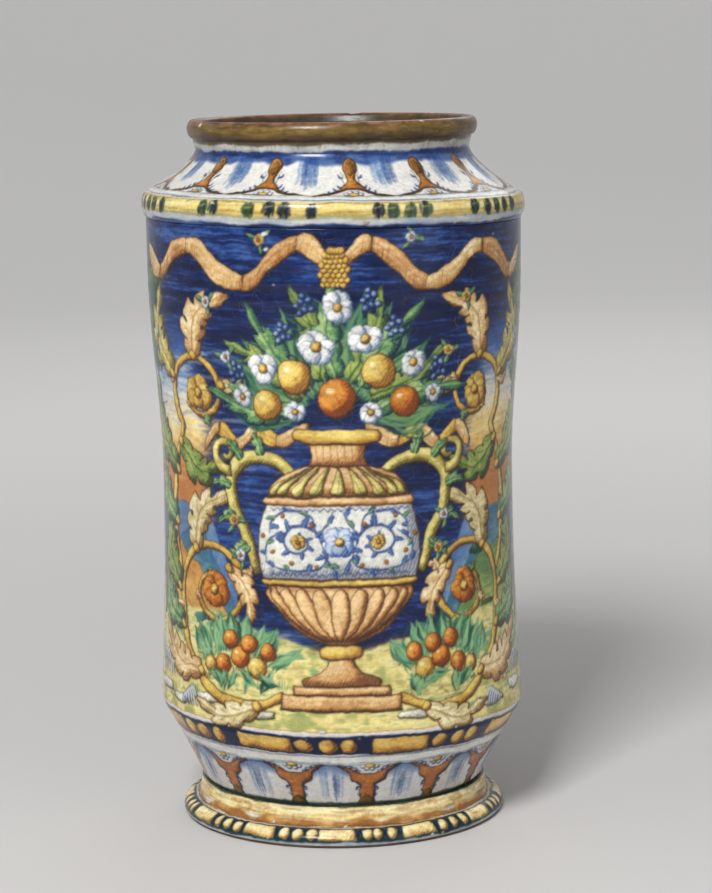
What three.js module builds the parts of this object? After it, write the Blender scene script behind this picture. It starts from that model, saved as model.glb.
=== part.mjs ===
import * as THREE from 'three';

// A tin-glazed earthenware drug jar, in millimetres, +Z up.
// The origin is the centre of the foot's resting face.

// Overall sizes
const jarHeight = 300;
const wallRadius = 79.8;
const waistDepth = 4.6;
const baseInset = 1.3;
const neckRadius = 58.1;
const coneFootRadius = 61.2;

// Levels on the wall, measured up from the resting face
const waistLevel = 150;
const wallBottomLevel = 54;

// Foot: a rounded edge moulding below a plain band
const footProjection = 8.6;
const footWidestLevel = 2.8;
const footRoundRise = 4.6;
const footRoundDepth = 5.6;
const footUndercutDegrees = -28;
const footBandHeight = 8.2;
const footBandSlope = 1.8;
const footBandHollow = 0.55;
const footBandInset = 0.7;
const ringWidth = 17;
const recessDepth = 2.5;

// Groove between the foot and the lower cone
const jointHeight = 1.8;
const jointDepth = 1.1;

// Lower cone and its turn into the wall
const coneHollow = 0.8;
const baseTurnHeight = 6;
const baseTurnInset = 1.1;
const baseTurnSwell = 0.3;

// Rib at the top of the wall, then shoulder, neck and lip counted down from the rim
const ribHeight = 10.8;
const ribProjection = 2.2;
const ribSeatInset = 0.5;
const wallBulgeDrop = 19;
const shoulderHeight = 18.2;
const shoulderPullOut = 1.9;
const shoulderPullRise = 11.3;
const neckHeight = 5;
const neckFlare = 1.3;
const lipHeight = 7.6;
const lipProjection = 3.5;
const lipLedge = 0.4;
const lipWidestDrop = 3.6;
const lipCrestInset = 2.4;
const lipCrestFall = 1;
const lipGlazeReach = 3;

// Thickness of the pot, glaze and all, and the bends of its inside
const wallThickness = 6.5;
const neckThickness = 5.8;
const innerNeckLength = 5.5;
const innerShoulderDrop = 3.9;
const innerShoulderPull = 1.5;
const innerShoulderPullRise = 8.2;
const floorThickness = 9.5;
const floorCorner = 7;
const floorCornerDegrees = 25;
const floorBendRise = 5.4;

// Glaze coat, the gap that keeps it apart from the clay, and where it stops
const glazeThickness = 0.5;
const fireGap = 0.3;
const glazeSeam = 0.3;
const bareClayHeight = 1.2;

// Facets round the jar, and along each stretch of its outline
const segments = 40;
const footRoundSteps = 5;
const footBandSteps = 2;
const coneSteps = 3;
const wallSteps = 4;
const ribSteps = 6;
const shoulderSteps = 5;
const crestSteps = 3;
const innerShoulderSteps = 3;
const innerWallSteps = 3;
const floorCornerSteps = 2;

// Levels and radii worked out from the sizes above
const waistRadius = wallRadius - waistDepth;
const baseRadius = wallRadius - baseInset;
const lipRadius = neckRadius + lipProjection;
const footRadius = coneFootRadius + footProjection;
const lipBottomLevel = jarHeight - lipHeight;
const neckLevel = lipBottomLevel - neckHeight;
const shoulderLevel = neckLevel - shoulderHeight;
const ribBottomLevel = shoulderLevel - ribHeight;
const wallBulgeLevel = ribBottomLevel - wallBulgeDrop;
const ribSeatRadius = wallRadius - ribSeatInset;
const lipBottomRadius = neckRadius + neckFlare;
const footRoundTop = footWidestLevel + footRoundRise;
const footBandTop = footRoundTop + footBandHeight;
const footRoundRadius = footRadius - footRoundDepth;
const footBandRadius = footRoundRadius - footBandInset;
const coneBottomLevel = footBandTop + jointHeight;
const floorLevel = recessDepth + floorThickness;

const point = (radius, height) => new THREE.Vector2(radius, height);

// Points on an upright ellipse about (radius, height), from one angle to another
function roundPoints(radius, height, reach, rise, fromDegrees, toDegrees, steps) {
  const points = [];
  for (let i = 0; i <= steps; i += 1) {
    const angle = THREE.MathUtils.degToRad(THREE.MathUtils.lerp(fromDegrees, toDegrees, i / steps));
    points.push(point(radius + reach * Math.cos(angle), height + rise * Math.sin(angle)));
  }
  return points;
}

// A smooth bend from one point to another, pulled towards a third
function bendPoints(from, pull, to, steps) {
  return new THREE.QuadraticBezierCurve(from, pull, to).getPoints(steps);
}

// The wall's radius at a height: a parabola below the waist, an eased swell above it
function wallRadiusAt(height) {
  if (height < waistLevel) {
    const below = (waistLevel - height) / (waistLevel - wallBottomLevel);
    return waistRadius + (baseRadius - waistRadius) * below * below;
  }
  const above = Math.min((height - waistLevel) / (wallBulgeLevel - waistLevel), 1);
  return waistRadius + (wallRadius - waistRadius) * 0.5 * (1 - Math.cos(Math.PI * above));
}

function wallPoints(fromHeight, toHeight, inset, steps) {
  const points = [];
  for (let i = 0; i <= steps; i += 1) {
    const height = THREE.MathUtils.lerp(fromHeight, toHeight, i / steps);
    points.push(point(wallRadiusAt(height) - inset, height));
  }
  return points;
}

// Finished outside of the foot, from the bare clay edge up to the groove
function footOutline() {
  const round = roundPoints(
    footRoundRadius, footWidestLevel, footRoundDepth, footRoundRise, footUndercutDegrees, 90, footRoundSteps,
  );
  const aboveClay = round.map((p) => point(p.x, Math.max(p.y, bareClayHeight)));
  const bandBottom = point(footBandRadius, footRoundTop + glazeSeam);
  const bandTop = point(footBandRadius - footBandSlope, footBandTop);
  const bandPull = bandBottom.clone().lerp(bandTop, 0.5).sub(point(footBandHollow, 0));
  return [...aboveClay, ...bendPoints(bandBottom, bandPull, bandTop, footBandSteps)];
}

// Finished outside from the groove to the underside of the lip
function bodyOutline() {
  const coneBottom = point(coneFootRadius, coneBottomLevel);
  const coneTop = point(baseRadius - baseTurnInset, wallBottomLevel - baseTurnHeight);
  const conePull = coneTop.clone().lerp(coneBottom, 0.5).sub(point(coneHollow, -coneHollow));
  const ribMiddle = ribBottomLevel + ribHeight / 2;
  const ribTop = point(ribSeatRadius, shoulderLevel);
  const shoulderPull = point(neckRadius + shoulderPullOut, shoulderLevel + shoulderPullRise);
  return [
    point(coneFootRadius - jointDepth, footBandTop + glazeSeam),
    ...bendPoints(coneBottom, conePull, coneTop, coneSteps),
    point(baseRadius - baseTurnSwell, wallBottomLevel - baseTurnHeight / 2),
    ...wallPoints(wallBottomLevel, waistLevel, 0, wallSteps),
    ...wallPoints(waistLevel, wallBulgeLevel, 0, wallSteps).slice(1),
    ...roundPoints(ribSeatRadius, ribMiddle, ribProjection, ribHeight / 2, -90, 90, ribSteps),
    ...bendPoints(ribTop, shoulderPull, point(neckRadius, neckLevel), shoulderSteps).slice(1),
    point(lipBottomRadius, lipBottomLevel),
  ];
}

// The lip's inner edge, the inside of the neck, and a place on the straight slope between them
const lipInnerEdge = point(lipRadius - 2 * lipCrestInset, jarHeight - lipCrestFall);
const neckInner = point(neckRadius - neckThickness, neckLevel);

function innerSlopePoint(reach) {
  const slope = neckInner.clone().sub(lipInnerEdge).normalize();
  return lipInnerEdge.clone().addScaledVector(slope, reach);
}

// Finished lip, over the rim and a little way down inside
function lipOutline() {
  const crest = roundPoints(
    lipRadius - lipCrestInset, jarHeight - lipWidestDrop, lipCrestInset, lipWidestDrop, 0, 90, crestSteps,
  );
  return [
    point(lipBottomRadius + lipLedge, lipBottomLevel + glazeSeam),
    ...crest,
    lipInnerEdge,
    innerSlopePoint(lipGlazeReach),
  ];
}

// Finished inside, from below the lip down to the middle of the floor
function innerOutline() {
  const coneInner = coneFootRadius - wallThickness;
  const shoulderInner = point(wallRadius - wallThickness, shoulderLevel - innerShoulderDrop);
  const shoulderPull = point(neckInner.x + innerShoulderPull, shoulderInner.y + innerShoulderPullRise);
  const neckInnerBottom = point(neckInner.x, neckInner.y - innerNeckLength);
  return [
    innerSlopePoint(lipGlazeReach + glazeSeam),
    neckInner,
    ...bendPoints(neckInnerBottom, shoulderPull, shoulderInner, innerShoulderSteps),
    ...wallPoints(wallBulgeLevel, waistLevel, wallThickness, innerWallSteps),
    ...wallPoints(waistLevel, wallBottomLevel, wallThickness, innerWallSteps).slice(1),
    point(coneInner, floorLevel + floorBendRise),
    ...roundPoints(
      coneInner - floorCorner, floorLevel + floorCorner, floorCorner, -floorCorner,
      floorCornerDegrees, 90, floorCornerSteps,
    ),
    point(0, floorLevel),
  ];
}

// The same line moved into the wall, with its corners kept square to both neighbours
function sunkLine(line, depth) {
  const sideOf = (a, b) => point(a.y - b.y, b.x - a.x).normalize();
  return line.map((p, i) => {
    const before = i > 0 ? sideOf(line[i - 1], p) : sideOf(p, line[i + 1]);
    const after = i < line.length - 1 ? sideOf(p, line[i + 1]) : before;
    const side = before.clone().add(after).normalize();
    const moved = p.clone().addScaledVector(side, depth / side.dot(after));
    return point(p.x === 0 ? 0 : moved.x, moved.y);
  });
}

// Turns a closed section round the axis
function turned(section) {
  const geometry = new THREE.LatheGeometry(section, segments);
  geometry.rotateX(Math.PI / 2);
  return geometry;
}

const foot = footOutline();
const body = bodyOutline();
const lip = lipOutline();
const inside = innerOutline();
const finished = [...foot, ...body, ...lip, ...inside];
const glazeBack = sunkLine(finished, glazeThickness);
const clayFace = sunkLine(finished, glazeThickness + fireGap);

// The thrown clay: recess and ring underneath, then the outside and the inside
function clayGeometry() {
  const ringOuter = clayFace[0].x;
  const ringInner = ringOuter - ringWidth;
  return turned([
    point(0, recessDepth),
    point(ringInner - recessDepth, recessDepth),
    point(ringInner, 0),
    point(ringOuter, 0),
    ...clayFace,
  ]);
}

// One zone of the glaze coat: its finished face, closed by its back
function glazeGeometry(start, count) {
  const face = finished.slice(start, start + count);
  const back = glazeBack.slice(start, start + count).reverse();
  return turned([...face, ...back, face[0].clone()]);
}

const jar = new THREE.Group();

function addPiece(name, geometry, look) {
  const mesh = new THREE.Mesh(geometry, new THREE.MeshStandardMaterial({ ...look, metalness: 0 }));
  mesh.name = name;
  jar.add(mesh);
}

const bodyStart = foot.length;
const lipStart = bodyStart + body.length;
const insideStart = lipStart + lip.length;

addPiece('clay_body', clayGeometry(), { color: 0xc39a6b, roughness: 0.9 });
addPiece('foot_glaze', glazeGeometry(0, foot.length), { color: 0xdcbb6c, roughness: 0.2 });
addPiece('painted_glaze', glazeGeometry(bodyStart, body.length), { color: 0x5b6fa8, roughness: 0.15 });
addPiece('lip_glaze', glazeGeometry(lipStart, lip.length), { color: 0x8a6a34, roughness: 0.3 });
addPiece('inner_glaze', glazeGeometry(insideStart, inside.length), { color: 0xb9b3a4, roughness: 0.25 });

export default jar;
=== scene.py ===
import math
import time
from math import cos, pi, radians, sin, sqrt

import bmesh
import bpy
import numpy as np
from mathutils import Matrix, Vector


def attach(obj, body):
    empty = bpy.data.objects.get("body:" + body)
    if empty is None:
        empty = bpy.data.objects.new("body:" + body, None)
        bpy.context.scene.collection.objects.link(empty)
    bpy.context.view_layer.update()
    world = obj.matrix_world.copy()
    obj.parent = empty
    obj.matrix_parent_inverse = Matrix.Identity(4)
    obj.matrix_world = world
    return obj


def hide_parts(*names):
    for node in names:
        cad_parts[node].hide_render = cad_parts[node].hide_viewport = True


startedAt = time.time()
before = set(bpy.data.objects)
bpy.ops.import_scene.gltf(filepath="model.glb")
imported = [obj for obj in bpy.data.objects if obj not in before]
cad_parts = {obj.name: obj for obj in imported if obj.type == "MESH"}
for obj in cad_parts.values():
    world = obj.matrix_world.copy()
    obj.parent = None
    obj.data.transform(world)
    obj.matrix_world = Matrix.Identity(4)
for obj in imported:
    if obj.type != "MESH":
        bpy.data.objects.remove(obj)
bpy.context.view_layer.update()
millimetre = 0.001


def say(stage):
    print(f"{stage}, {time.time() - startedAt:.1f} s")


say("frame loaded")


# Brush: the canvas is the jar's outside unrolled, in millimetres
brush = {
    "pixelsPerMm": 3.2,
    "wrapRadius": 77,
    "low": -22,
    "high": 322,
    "seed": 11,
}

colours = {
    "white": "e2e1db",
    "cream": "eee2be",
    "cobaltDark": "1e2454",
    "cobalt": "303c7e",
    "cobaltLight": "6a7eb4",
    "ink": "1a204a",
    "olive": "3c3420",
    "flesh": "e6c48a",
    "fleshLight": "f8eecc",
    "fleshDark": "b27e40",
    "tan": "d6a86c",
    "tanLight": "f0d8a8",
    "tanDark": "925c30",
    "yellow": "e0be5c",
    "yellowLight": "f2e08a",
    "yellowDark": "a67228",
    "orange": "d48428",
    "orangeLight": "eeb656",
    "orangeDark": "8c441a",
    "rust": "a45a2a",
    "rustDark": "4e301e",
    "teal": "427e62",
    "tealLight": "8cb274",
    "tealDark": "1a403c",
    "leaf": "7e9a50",
    "leafLight": "bec870",
    "leafDark": "30522c",
    "greyBlue": "8492ac",
    "greyDark": "54607c",
}

# A colour with its light and its shade, where these have no names of their own above
toneSets = {
    "daisy": ("white", "fcfcfa", "greyBlue"),
    "greenLeaf": ("7aa86e", "ceda96", "2c624c"),
    "limeLeaf": ("96ac5a", "leafLight", "leafDark"),
    "paleLeaf": ("e2d29c", "f6f0d0", "96763e"),
    "blueLeaf": ("cobaltLight", "b6c2de", "cobalt"),
    "mossGold": ("cebe68", "f4eaa0", "787434"),
    "reel": ("e6b44c", "f6dc84", "965c24"),
    "footReel": ("f4dc98", "fcf6d6", "b08242"),
    "rustLeaf": ("ce8c3a", "e4ac5a", "885424"),
    "trumpet": ("be783c", "d89a58", "764a22"),
}

pixelsPerMm = brush["pixelsPerMm"]
wrapLength = 2 * pi * brush["wrapRadius"]
canvasCols = int(round(wrapLength * pixelsPerMm))
canvasRows = int(round((brush["high"] - brush["low"]) * pixelsPerMm))
canvas = np.zeros((canvasRows, canvasCols, 3), np.float32)
dice = np.random.default_rng(brush["seed"])
between, about = dice.uniform, dice.normal


def paint(name):
    # A named colour, or one written as red, green and blue in hexadecimal digits
    code = colours.get(name, name)
    return np.array([int(code[k:k + 2], 16) for k in (0, 2, 4)], np.float32) / 255


def tonesOf(tones):
    # One name stands for a colour with its light and its shade
    if isinstance(tones, str):
        tones = toneSets.get(tones, (tones, tones + "Light", tones + "Dark"))
    return tones


def cloudNoise(cellX, cellY):
    # Smooth random field over the whole canvas, from 0 to 1, seamless round the jar
    across = max(2, int(round(wrapLength / cellX)))
    up = int((brush["high"] - brush["low"]) / cellY) + 2
    grid = dice.random((up, across)).astype(np.float32)
    fx = (np.arange(canvasCols) + 0.5) / canvasCols * across
    fy = np.arange(canvasRows) / canvasRows * (up - 1.001)
    ix, iy = fx.astype(int), fy.astype(int)
    tx, ty = fx - ix, fy - iy
    tx, ty = tx * tx * (3 - 2 * tx), ty * ty * (3 - 2 * ty)
    left, right = grid[:, ix % across], grid[:, (ix + 1) % across]
    rowsOf = left + (right - left) * tx
    return (rowsOf[iy] + (rowsOf[iy + 1] - rowsOf[iy]) * ty[:, None]).astype(np.float32)


streaks = 0.4 * cloudNoise(20, 0.9) + 0.35 * cloudNoise(7, 0.55) + 0.25 * cloudNoise(3, 0.45)
mottle = 0.6 * cloudNoise(7, 5) + 0.4 * cloudNoise(2.4, 1.8)
grain = 0.5 * cloudNoise(1.1, 0.9) + 0.5 * cloudNoise(0.5, 0.5)


def windowOf(xLow, xHigh, yLow, yHigh):
    first = int(math.floor((xLow / wrapLength + 0.5) * canvasCols)) - 2
    last = int(math.ceil((xHigh / wrapLength + 0.5) * canvasCols)) + 2
    bottom = max(0, int(math.floor((yLow - brush["low"]) * pixelsPerMm)) - 2)
    top = min(canvasRows, int(math.ceil((yHigh - brush["low"]) * pixelsPerMm)) + 2)
    index = np.arange(first, last)
    return {
        "at": (slice(bottom, max(top, bottom)), index % canvasCols),
        "x": ((index + 0.5) / canvasCols - 0.5) * wrapLength,
        "y": (np.arange(bottom, max(top, bottom)) + 0.5) / pixelsPerMm + brush["low"],
    }


def lay(spot, mask, colour, strength=1):
    # Brings the canvas towards a colour, or towards a patch of colours, under a mask
    patch = canvas[spot["at"]]
    cover = (mask * strength)[..., None]
    patch += (colour - patch) * cover
    canvas[spot["at"]] = patch


def smoothLine(points, closed=False, steps=8):
    # A Catmull-Rom curve through a few points
    p = np.asarray(points, float)
    if closed:
        p = np.vstack([p[-1], p, p[0], p[1]])
    else:
        p = np.vstack([2 * p[0] - p[1], p, 2 * p[-1] - p[-2]])
    t = (np.arange(steps) / steps)[:, None]
    out = []
    for a, b, c, d in zip(p[:-3], p[1:-2], p[2:-1], p[3:]):
        out.append(0.5 * (2 * b + (c - a) * t + (2 * a - 5 * b + 4 * c - d) * t ** 2
            + (3 * b - a - 3 * c + d) * t ** 3))
    if not closed:
        out.append(p[-2:-1])
    return np.vstack(out)


def addStroke(spot, mask, line, widths):
    xs, ys = spot["x"], spot["y"]
    line = np.asarray(line, float)
    half = np.broadcast_to(np.asarray(widths, float) / 2, (len(line),))
    for (ax, ay), (bx, by), ha, hb in zip(line[:-1], line[1:], half[:-1], half[1:]):
        reach = max(ha, hb) + 0.5
        j0, j1 = np.searchsorted(xs, (min(ax, bx) - reach, max(ax, bx) + reach))
        i0, i1 = np.searchsorted(ys, (min(ay, by) - reach, max(ay, by) + reach))
        if i1 <= i0 or j1 <= j0:
            continue
        dx, dy = bx - ax, by - ay
        px, py = xs[j0:j1] - ax, (ys[i0:i1] - ay)[:, None]
        along = np.clip((px * dx + py * dy) / (dx * dx + dy * dy + 1e-9), 0, 1)
        away = np.hypot(px - along * dx, py - along * dy)
        width = ha + (hb - ha) * along
        cover = np.clip((width - away) * pixelsPerMm + 0.5, 0, 1)
        cover *= np.minimum(1, 2 * width * pixelsPerMm)
        np.maximum(mask[i0:i1, j0:j1], cover, out=mask[i0:i1, j0:j1])


def drawLine(line, widths, colour, strength=0.9, patchy=0.35):
    line = np.asarray(line, float)
    pad = float(np.max(widths)) / 2 + 0.6
    (x0, y0), (x1, y1) = line.min(0) - pad, line.max(0) + pad
    spot = windowOf(x0, x1, y0, y1)
    mask = np.zeros((len(spot["y"]), len(spot["x"])), np.float32)
    if not mask.size:
        return
    addStroke(spot, mask, line, widths)
    if patchy:
        mask *= 1 - patchy * grain[spot["at"]]
    lay(spot, mask, paint(colour), strength)


def directions(line):
    # Unit steps along a line, and to the left of it
    step = np.gradient(line, axis=0)
    step /= np.hypot(step[:, 0], step[:, 1])[:, None] + 1e-9
    return step, np.stack([-step[:, 1], step[:, 0]], 1)


def swelling(count, thin, thick, peak=0.4):
    # Widths of one brush stroke: it lands, swells and lifts off
    t = np.linspace(0, 1, count)
    rise = np.where(t < peak, t / peak, (1 - t) / (1 - peak))
    return thin + (thick - thin) * np.sin(rise * pi / 2)


def fillMask(spot, outline):
    xs, ys = spot["x"], spot["y"]
    p = np.asarray(outline, float)
    q = np.roll(p, -1, 0)
    mask = np.zeros((len(ys), len(xs)), np.float32)
    if not mask.size:
        return mask
    for shift in (-0.33, 0, 0.33):
        level = (ys + shift / pixelsPerMm)[:, None]
        low, high = np.minimum(p[:, 1], q[:, 1]), np.maximum(p[:, 1], q[:, 1])
        slope = (q[:, 0] - p[:, 0]) / np.where(q[:, 1] == p[:, 1], 1, q[:, 1] - p[:, 1])
        cross = np.where((level >= low) & (level < high), p[:, 0] + (level - p[:, 1]) * slope, np.inf)
        cross = np.sort(cross, 1)
        pairs = int(np.isfinite(cross).sum(1).max(initial=0)) // 2
        for k in range(pairs):
            a, b = cross[:, 2 * k, None], cross[:, 2 * k + 1, None]
            inside = np.minimum(xs + 0.5 / pixelsPerMm, b) - np.maximum(xs - 0.5 / pixelsPerMm, a)
            mask += np.clip(np.nan_to_num(inside, nan=0, posinf=0, neginf=0) * pixelsPerMm, 0, 1) / 3
    return np.minimum(mask, 1)


def soften(field, radius):
    n = max(1, int(round(radius * pixelsPerMm)))
    for axis in (0, 1):
        for _ in range(2):
            pad = [(0, 0), (0, 0)]
            pad[axis] = (n + 1, n)
            total = np.cumsum(np.pad(field, pad, mode="edge"), axis=axis, dtype=np.float64)
            size = field.shape[axis]
            upper = np.take(total, np.arange(2 * n + 1, 2 * n + 1 + size), axis=axis)
            lower = np.take(total, np.arange(0, size), axis=axis)
            field = ((upper - lower) / (2 * n + 1)).astype(np.float32)
    return field


def outlineWidths(outline, thin, thick):
    # The contour is thin towards the light, above left, and thick on the shadow side
    step = np.roll(outline, -1, 0) - np.roll(outline, 1, 0)
    length = np.hypot(step[:, 0], step[:, 1]) + 1e-9
    area = np.sum(outline[:, 0] * np.roll(outline[:, 1], -1) - np.roll(outline[:, 0], -1) * outline[:, 1])
    turn = 1 if area > 0 else -1
    facing = turn * (step[:, 1] * 0.7 + step[:, 0] * 0.7) / length
    return thin + (thick - thin) * (0.5 + 0.5 * facing)


def smooth(low, high, value):
    t = np.clip((value - low) / (high - low), 0, 1)
    return t * t * (3 - 2 * t)


def hatching(spot, degrees, gap, share):
    # Rows of hand-drawn strokes at an angle; share says how much of each gap the stroke fills
    at = spot["at"]
    a = radians(degrees)
    across = (spot["y"][:, None] * cos(a) - spot["x"] * sin(a)) / gap
    across = across + (mottle[at] - 0.5) * 1.7 + (grain[at] - 0.5) * 0.35
    away = np.abs(across - np.floor(across) - 0.5) * gap
    return np.clip((share * gap / 2 - away) * pixelsPerMm + 0.4, 0, 1)


def paintForm(outline, tones, line="ink", width=0.5, roundness=2, depth=1, hatch=50, strength=1,
        lineStrength=0.9):
    # A wash of colour, lighter and darker washes on it, hatching in the shade, then the contour and its echo
    outline = np.asarray(outline, float)
    (x0, y0), (x1, y1) = outline.min(0) - 1.5, outline.max(0) + 1.5
    spot = windowOf(x0, x1, y0, y1)
    mask = fillMask(spot, outline)
    if not mask.size or min(mask.shape) < 2:
        return
    mound = soften(mask, roundness)
    gy, gx = np.gradient(mound)
    at = spot["at"]
    brushed = (mottle[at] - 0.5) * 0.55 + (grain[at] - 0.5) * 0.4 + (streaks[at] - 0.5) * 0.4
    lit = ((gx * 0.75 - gy * 0.65) * roundness * pixelsPerMm * 1.25 + (mound - 0.76) * 1.1) * depth
    shade = -lit - brushed * 0.6
    up = smooth(0.08, 0.34, lit + brushed * 0.8) * 0.62 + np.clip(brushed, 0, 1) * 0.5
    down = smooth(0.06, 0.16, shade) * 0.3 + smooth(0.24, 0.34, shade) * 0.3 + np.clip(-brushed, 0,
        1) * 0.35
    base, light, dark = (paint(t) for t in tonesOf(tones))
    patch = base + (light - base) * np.clip(up, 0, 1)[..., None] + (dark - base) * np.clip(down, 0,
        0.8)[..., None]
    lay(spot, mask, patch, strength)
    if hatch is not None and roundness > 0.75:
        marks = hatching(spot, hatch, 1.2, np.clip(shade * 1.6, 0, 0.62))
        lay(spot, marks * mask, dark * 0.55 + paint(line) * 0.45, 0.7 * strength)
    if width:
        closed = np.vstack([outline, outline[:1]])
        widths = outlineWidths(outline, width * 0.6, width * 1.7)
        widths = np.append(widths, widths[0])
        drawLine(closed, widths, line, lineStrength, 0.45)
        if width > 0.4:
            drawLine(closed + (0.3, -0.32), widths * 0.5, line, 0.4, 0.9)


def ringLine(x, y, radiusX, radiusY=None, count=24, fromDegrees=0, toDegrees=360):
    # A whole ring is left open, because what it outlines is closed when it is painted
    t = np.radians(np.linspace(fromDegrees, toDegrees, count, toDegrees - fromDegrees < 360))
    return np.stack([x + radiusX * np.cos(t), y + (radiusY or radiusX) * np.sin(t)], 1)


def turnedTo(points, x, y, degrees=0):
    a, p = radians(degrees), np.asarray(points, float)
    rx, ry = p[:, 0] * cos(a) - p[:, 1] * sin(a), p[:, 0] * sin(a) + p[:, 1] * cos(a)
    return np.stack([x + rx, y + ry], 1)


def mirrored(points, flip=-1):
    return [(flip * x, y) for x, y in points]


def anywhere():
    return between(-wrapLength / 2, wrapLength / 2)


def roughRing(x, y, wide, tall, wobble, count=12, steps=3):
    # A small round shape drawn by an unsteady hand
    ring = ringLine(x, y, wide, tall, count)
    return smoothLine(ring + about(0, wobble, ring.shape), True, steps)


def scatter(count, low, high, length, width, tones, strength=(0.25, 0.6), tilt=0.3, keep=None):
    # Short level strokes thrown over a strip of the canvas, in one tone after another
    for k in range(count):
        x, y = anywhere(), between(low, high)
        if keep and not keep(x, y):
            continue
        reach, rise = between(*length), about(0, tilt, 2)
        line = [(x, y), (x + reach / 2, y + rise[0]), (x + reach, y + rise[1])]
        drawLine(line, [0.2, between(*width), 0.2], tones[k % len(tones)], between(*strength), 0.6)


# The jar's finished shape outside and inside, in millimetres and degrees
form = {
    "height": 300, "wallRadius": 79.8, "waistDepth": 4.6, "baseInset": 1.3, "neckRadius": 58.1,
    "coneFootRadius": 61.2, "waistLevel": 150, "wallBottomLevel": 54,
    "footProjection": 8.6, "footWidestLevel": 2.8, "footRoundRise": 4.6, "footRoundDepth": 5.6,
    "footUndercutDegrees": -28, "footBandHeight": 8.2, "footBandSlope": 1.8, "footBandHollow": 0.55,
    "footBandInset": 0.7, "bareClayHeight": 1.2, "jointHeight": 1.8, "jointDepth": 1.1,
    "coneHollow": 0.8, "baseTurnHeight": 6, "baseTurnInset": 1.1, "baseTurnSwell": 0.3,
    "ribHeight": 10.8, "ribProjection": 2.2, "ribSeatInset": 0.5, "wallBulgeDrop": 19,
    "shoulderHeight": 18.2, "shoulderPullOut": 1.9, "shoulderPullRise": 11.3,
    "neckHeight": 5, "neckFlare": 1.3, "lipHeight": 7.6, "glazeSeam": 0.3,
    "lipProjection": 3.5, "lipWidestDrop": 3.6, "lipCrestInset": 2.4, "lipCrestFall": 1, "lipGlazeReach": 3,
    "wallThickness": 6.5, "neckThickness": 5.8, "innerNeckLength": 5.5, "innerShoulderDrop": 3.9,
    "innerShoulderPull": 1.5, "innerShoulderPullRise": 8.2, "floorThickness": 9.5, "floorCorner": 7,
    "floorCornerDegrees": 25, "floorBendRise": 5.4, "recessDepth": 2.5, "ringWidth": 17,
    "glaze": 0.5, "fireGap": 0.3,
}
f = form
lipBottom = f["height"] - f["lipHeight"]
neckLevel = lipBottom - f["neckHeight"]
shoulderLevel = neckLevel - f["shoulderHeight"]
ribBottom = shoulderLevel - f["ribHeight"]
wallBulge = ribBottom - f["wallBulgeDrop"]
waistRadius = f["wallRadius"] - f["waistDepth"]
baseRadius = f["wallRadius"] - f["baseInset"]
footRadius = f["coneFootRadius"] + f["footProjection"]
footRoundTop = f["footWidestLevel"] + f["footRoundRise"]
footBandTop = footRoundTop + f["footBandHeight"]
coneBottom = footBandTop + f["jointHeight"]
ribSeat = f["wallRadius"] - f["ribSeatInset"]
neckR = f["neckRadius"] - f["neckThickness"]
# Where the lip's crest turns down inside, and where its glaze ends below
innerEdge = np.array((f["neckRadius"] + f["lipProjection"] - 2 * f["lipCrestInset"],
    f["height"] - f["lipCrestFall"]))
slopeInside = np.array((neckR, neckLevel)) - innerEdge
glazeEnd = innerEdge + slopeInside / np.hypot(*slopeInside) * f["lipGlazeReach"]


def bend(a, pull, b, steps):
    t = np.linspace(0, 1, steps + 1)[:, None]
    a, pull, b = (np.asarray(p, float) for p in (a, pull, b))
    return (1 - t) ** 2 * a + 2 * t * (1 - t) * pull + t ** 2 * b


def arc(r, z, reach, rise, a, b, steps):
    t = np.radians(np.linspace(a, b, steps + 1))
    return np.stack([r + reach * np.cos(t), z + rise * np.sin(t)], 1)


def wallRadiusAt(z):
    below = (f["waistLevel"] - z) / (f["waistLevel"] - f["wallBottomLevel"])
    above = np.clip((z - f["waistLevel"]) / (wallBulge - f["waistLevel"]), 0, 1)
    low = waistRadius + (baseRadius - waistRadius) * below ** 2
    high = waistRadius + (f["wallRadius"] - waistRadius) * 0.5 * (1 - np.cos(np.pi * above))
    return np.where(z < f["waistLevel"], low, high)


def footLine():
    # Rounded edge from the bare clay up, then the hollow band to the groove
    foot = arc(footRadius - f["footRoundDepth"], f["footWidestLevel"], f["footRoundDepth"],
        f["footRoundRise"], f["footUndercutDegrees"], 90, 24)
    foot = foot[foot[:, 1] >= f["bareClayHeight"]]
    bandR = footRadius - f["footRoundDepth"] - f["footBandInset"]
    low, high = (bandR, footRoundTop + f["glazeSeam"]), (bandR - f["footBandSlope"], footBandTop)
    middle = ((low[0] + high[0]) / 2 - f["footBandHollow"], (low[1] + high[1]) / 2)
    return np.vstack([foot, bend(low, middle, high, 12)])


def bodyLine():
    # Groove, cone, wall, rib, shoulder and neck, up to the underside of the lip
    groove = [(f["coneFootRadius"] - f["jointDepth"], footBandTop + f["glazeSeam"])]
    a = (f["coneFootRadius"], coneBottom)
    b = (baseRadius - f["baseTurnInset"], f["wallBottomLevel"] - f["baseTurnHeight"])
    pull = ((a[0] + b[0]) / 2 - f["coneHollow"], (a[1] + b[1]) / 2 + f["coneHollow"])
    cone = bend(a, pull, b, 20)
    turn = [(baseRadius - f["baseTurnSwell"], f["wallBottomLevel"] - f["baseTurnHeight"] / 2)]
    z = np.linspace(f["wallBottomLevel"], ribBottom, 60)
    wall = np.stack([wallRadiusAt(z), z], 1)
    rib = arc(ribSeat, ribBottom + f["ribHeight"] / 2, f["ribProjection"], f["ribHeight"] / 2, -90, 90, 20)
    shoulder = bend((ribSeat, shoulderLevel), (f["neckRadius"] + f["shoulderPullOut"],
        shoulderLevel + f["shoulderPullRise"]), (f["neckRadius"], neckLevel), 20)
    neck = [(f["neckRadius"] + f["neckFlare"], lipBottom)]
    return np.vstack([groove, cone, turn, wall, rib, shoulder, neck])


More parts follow.
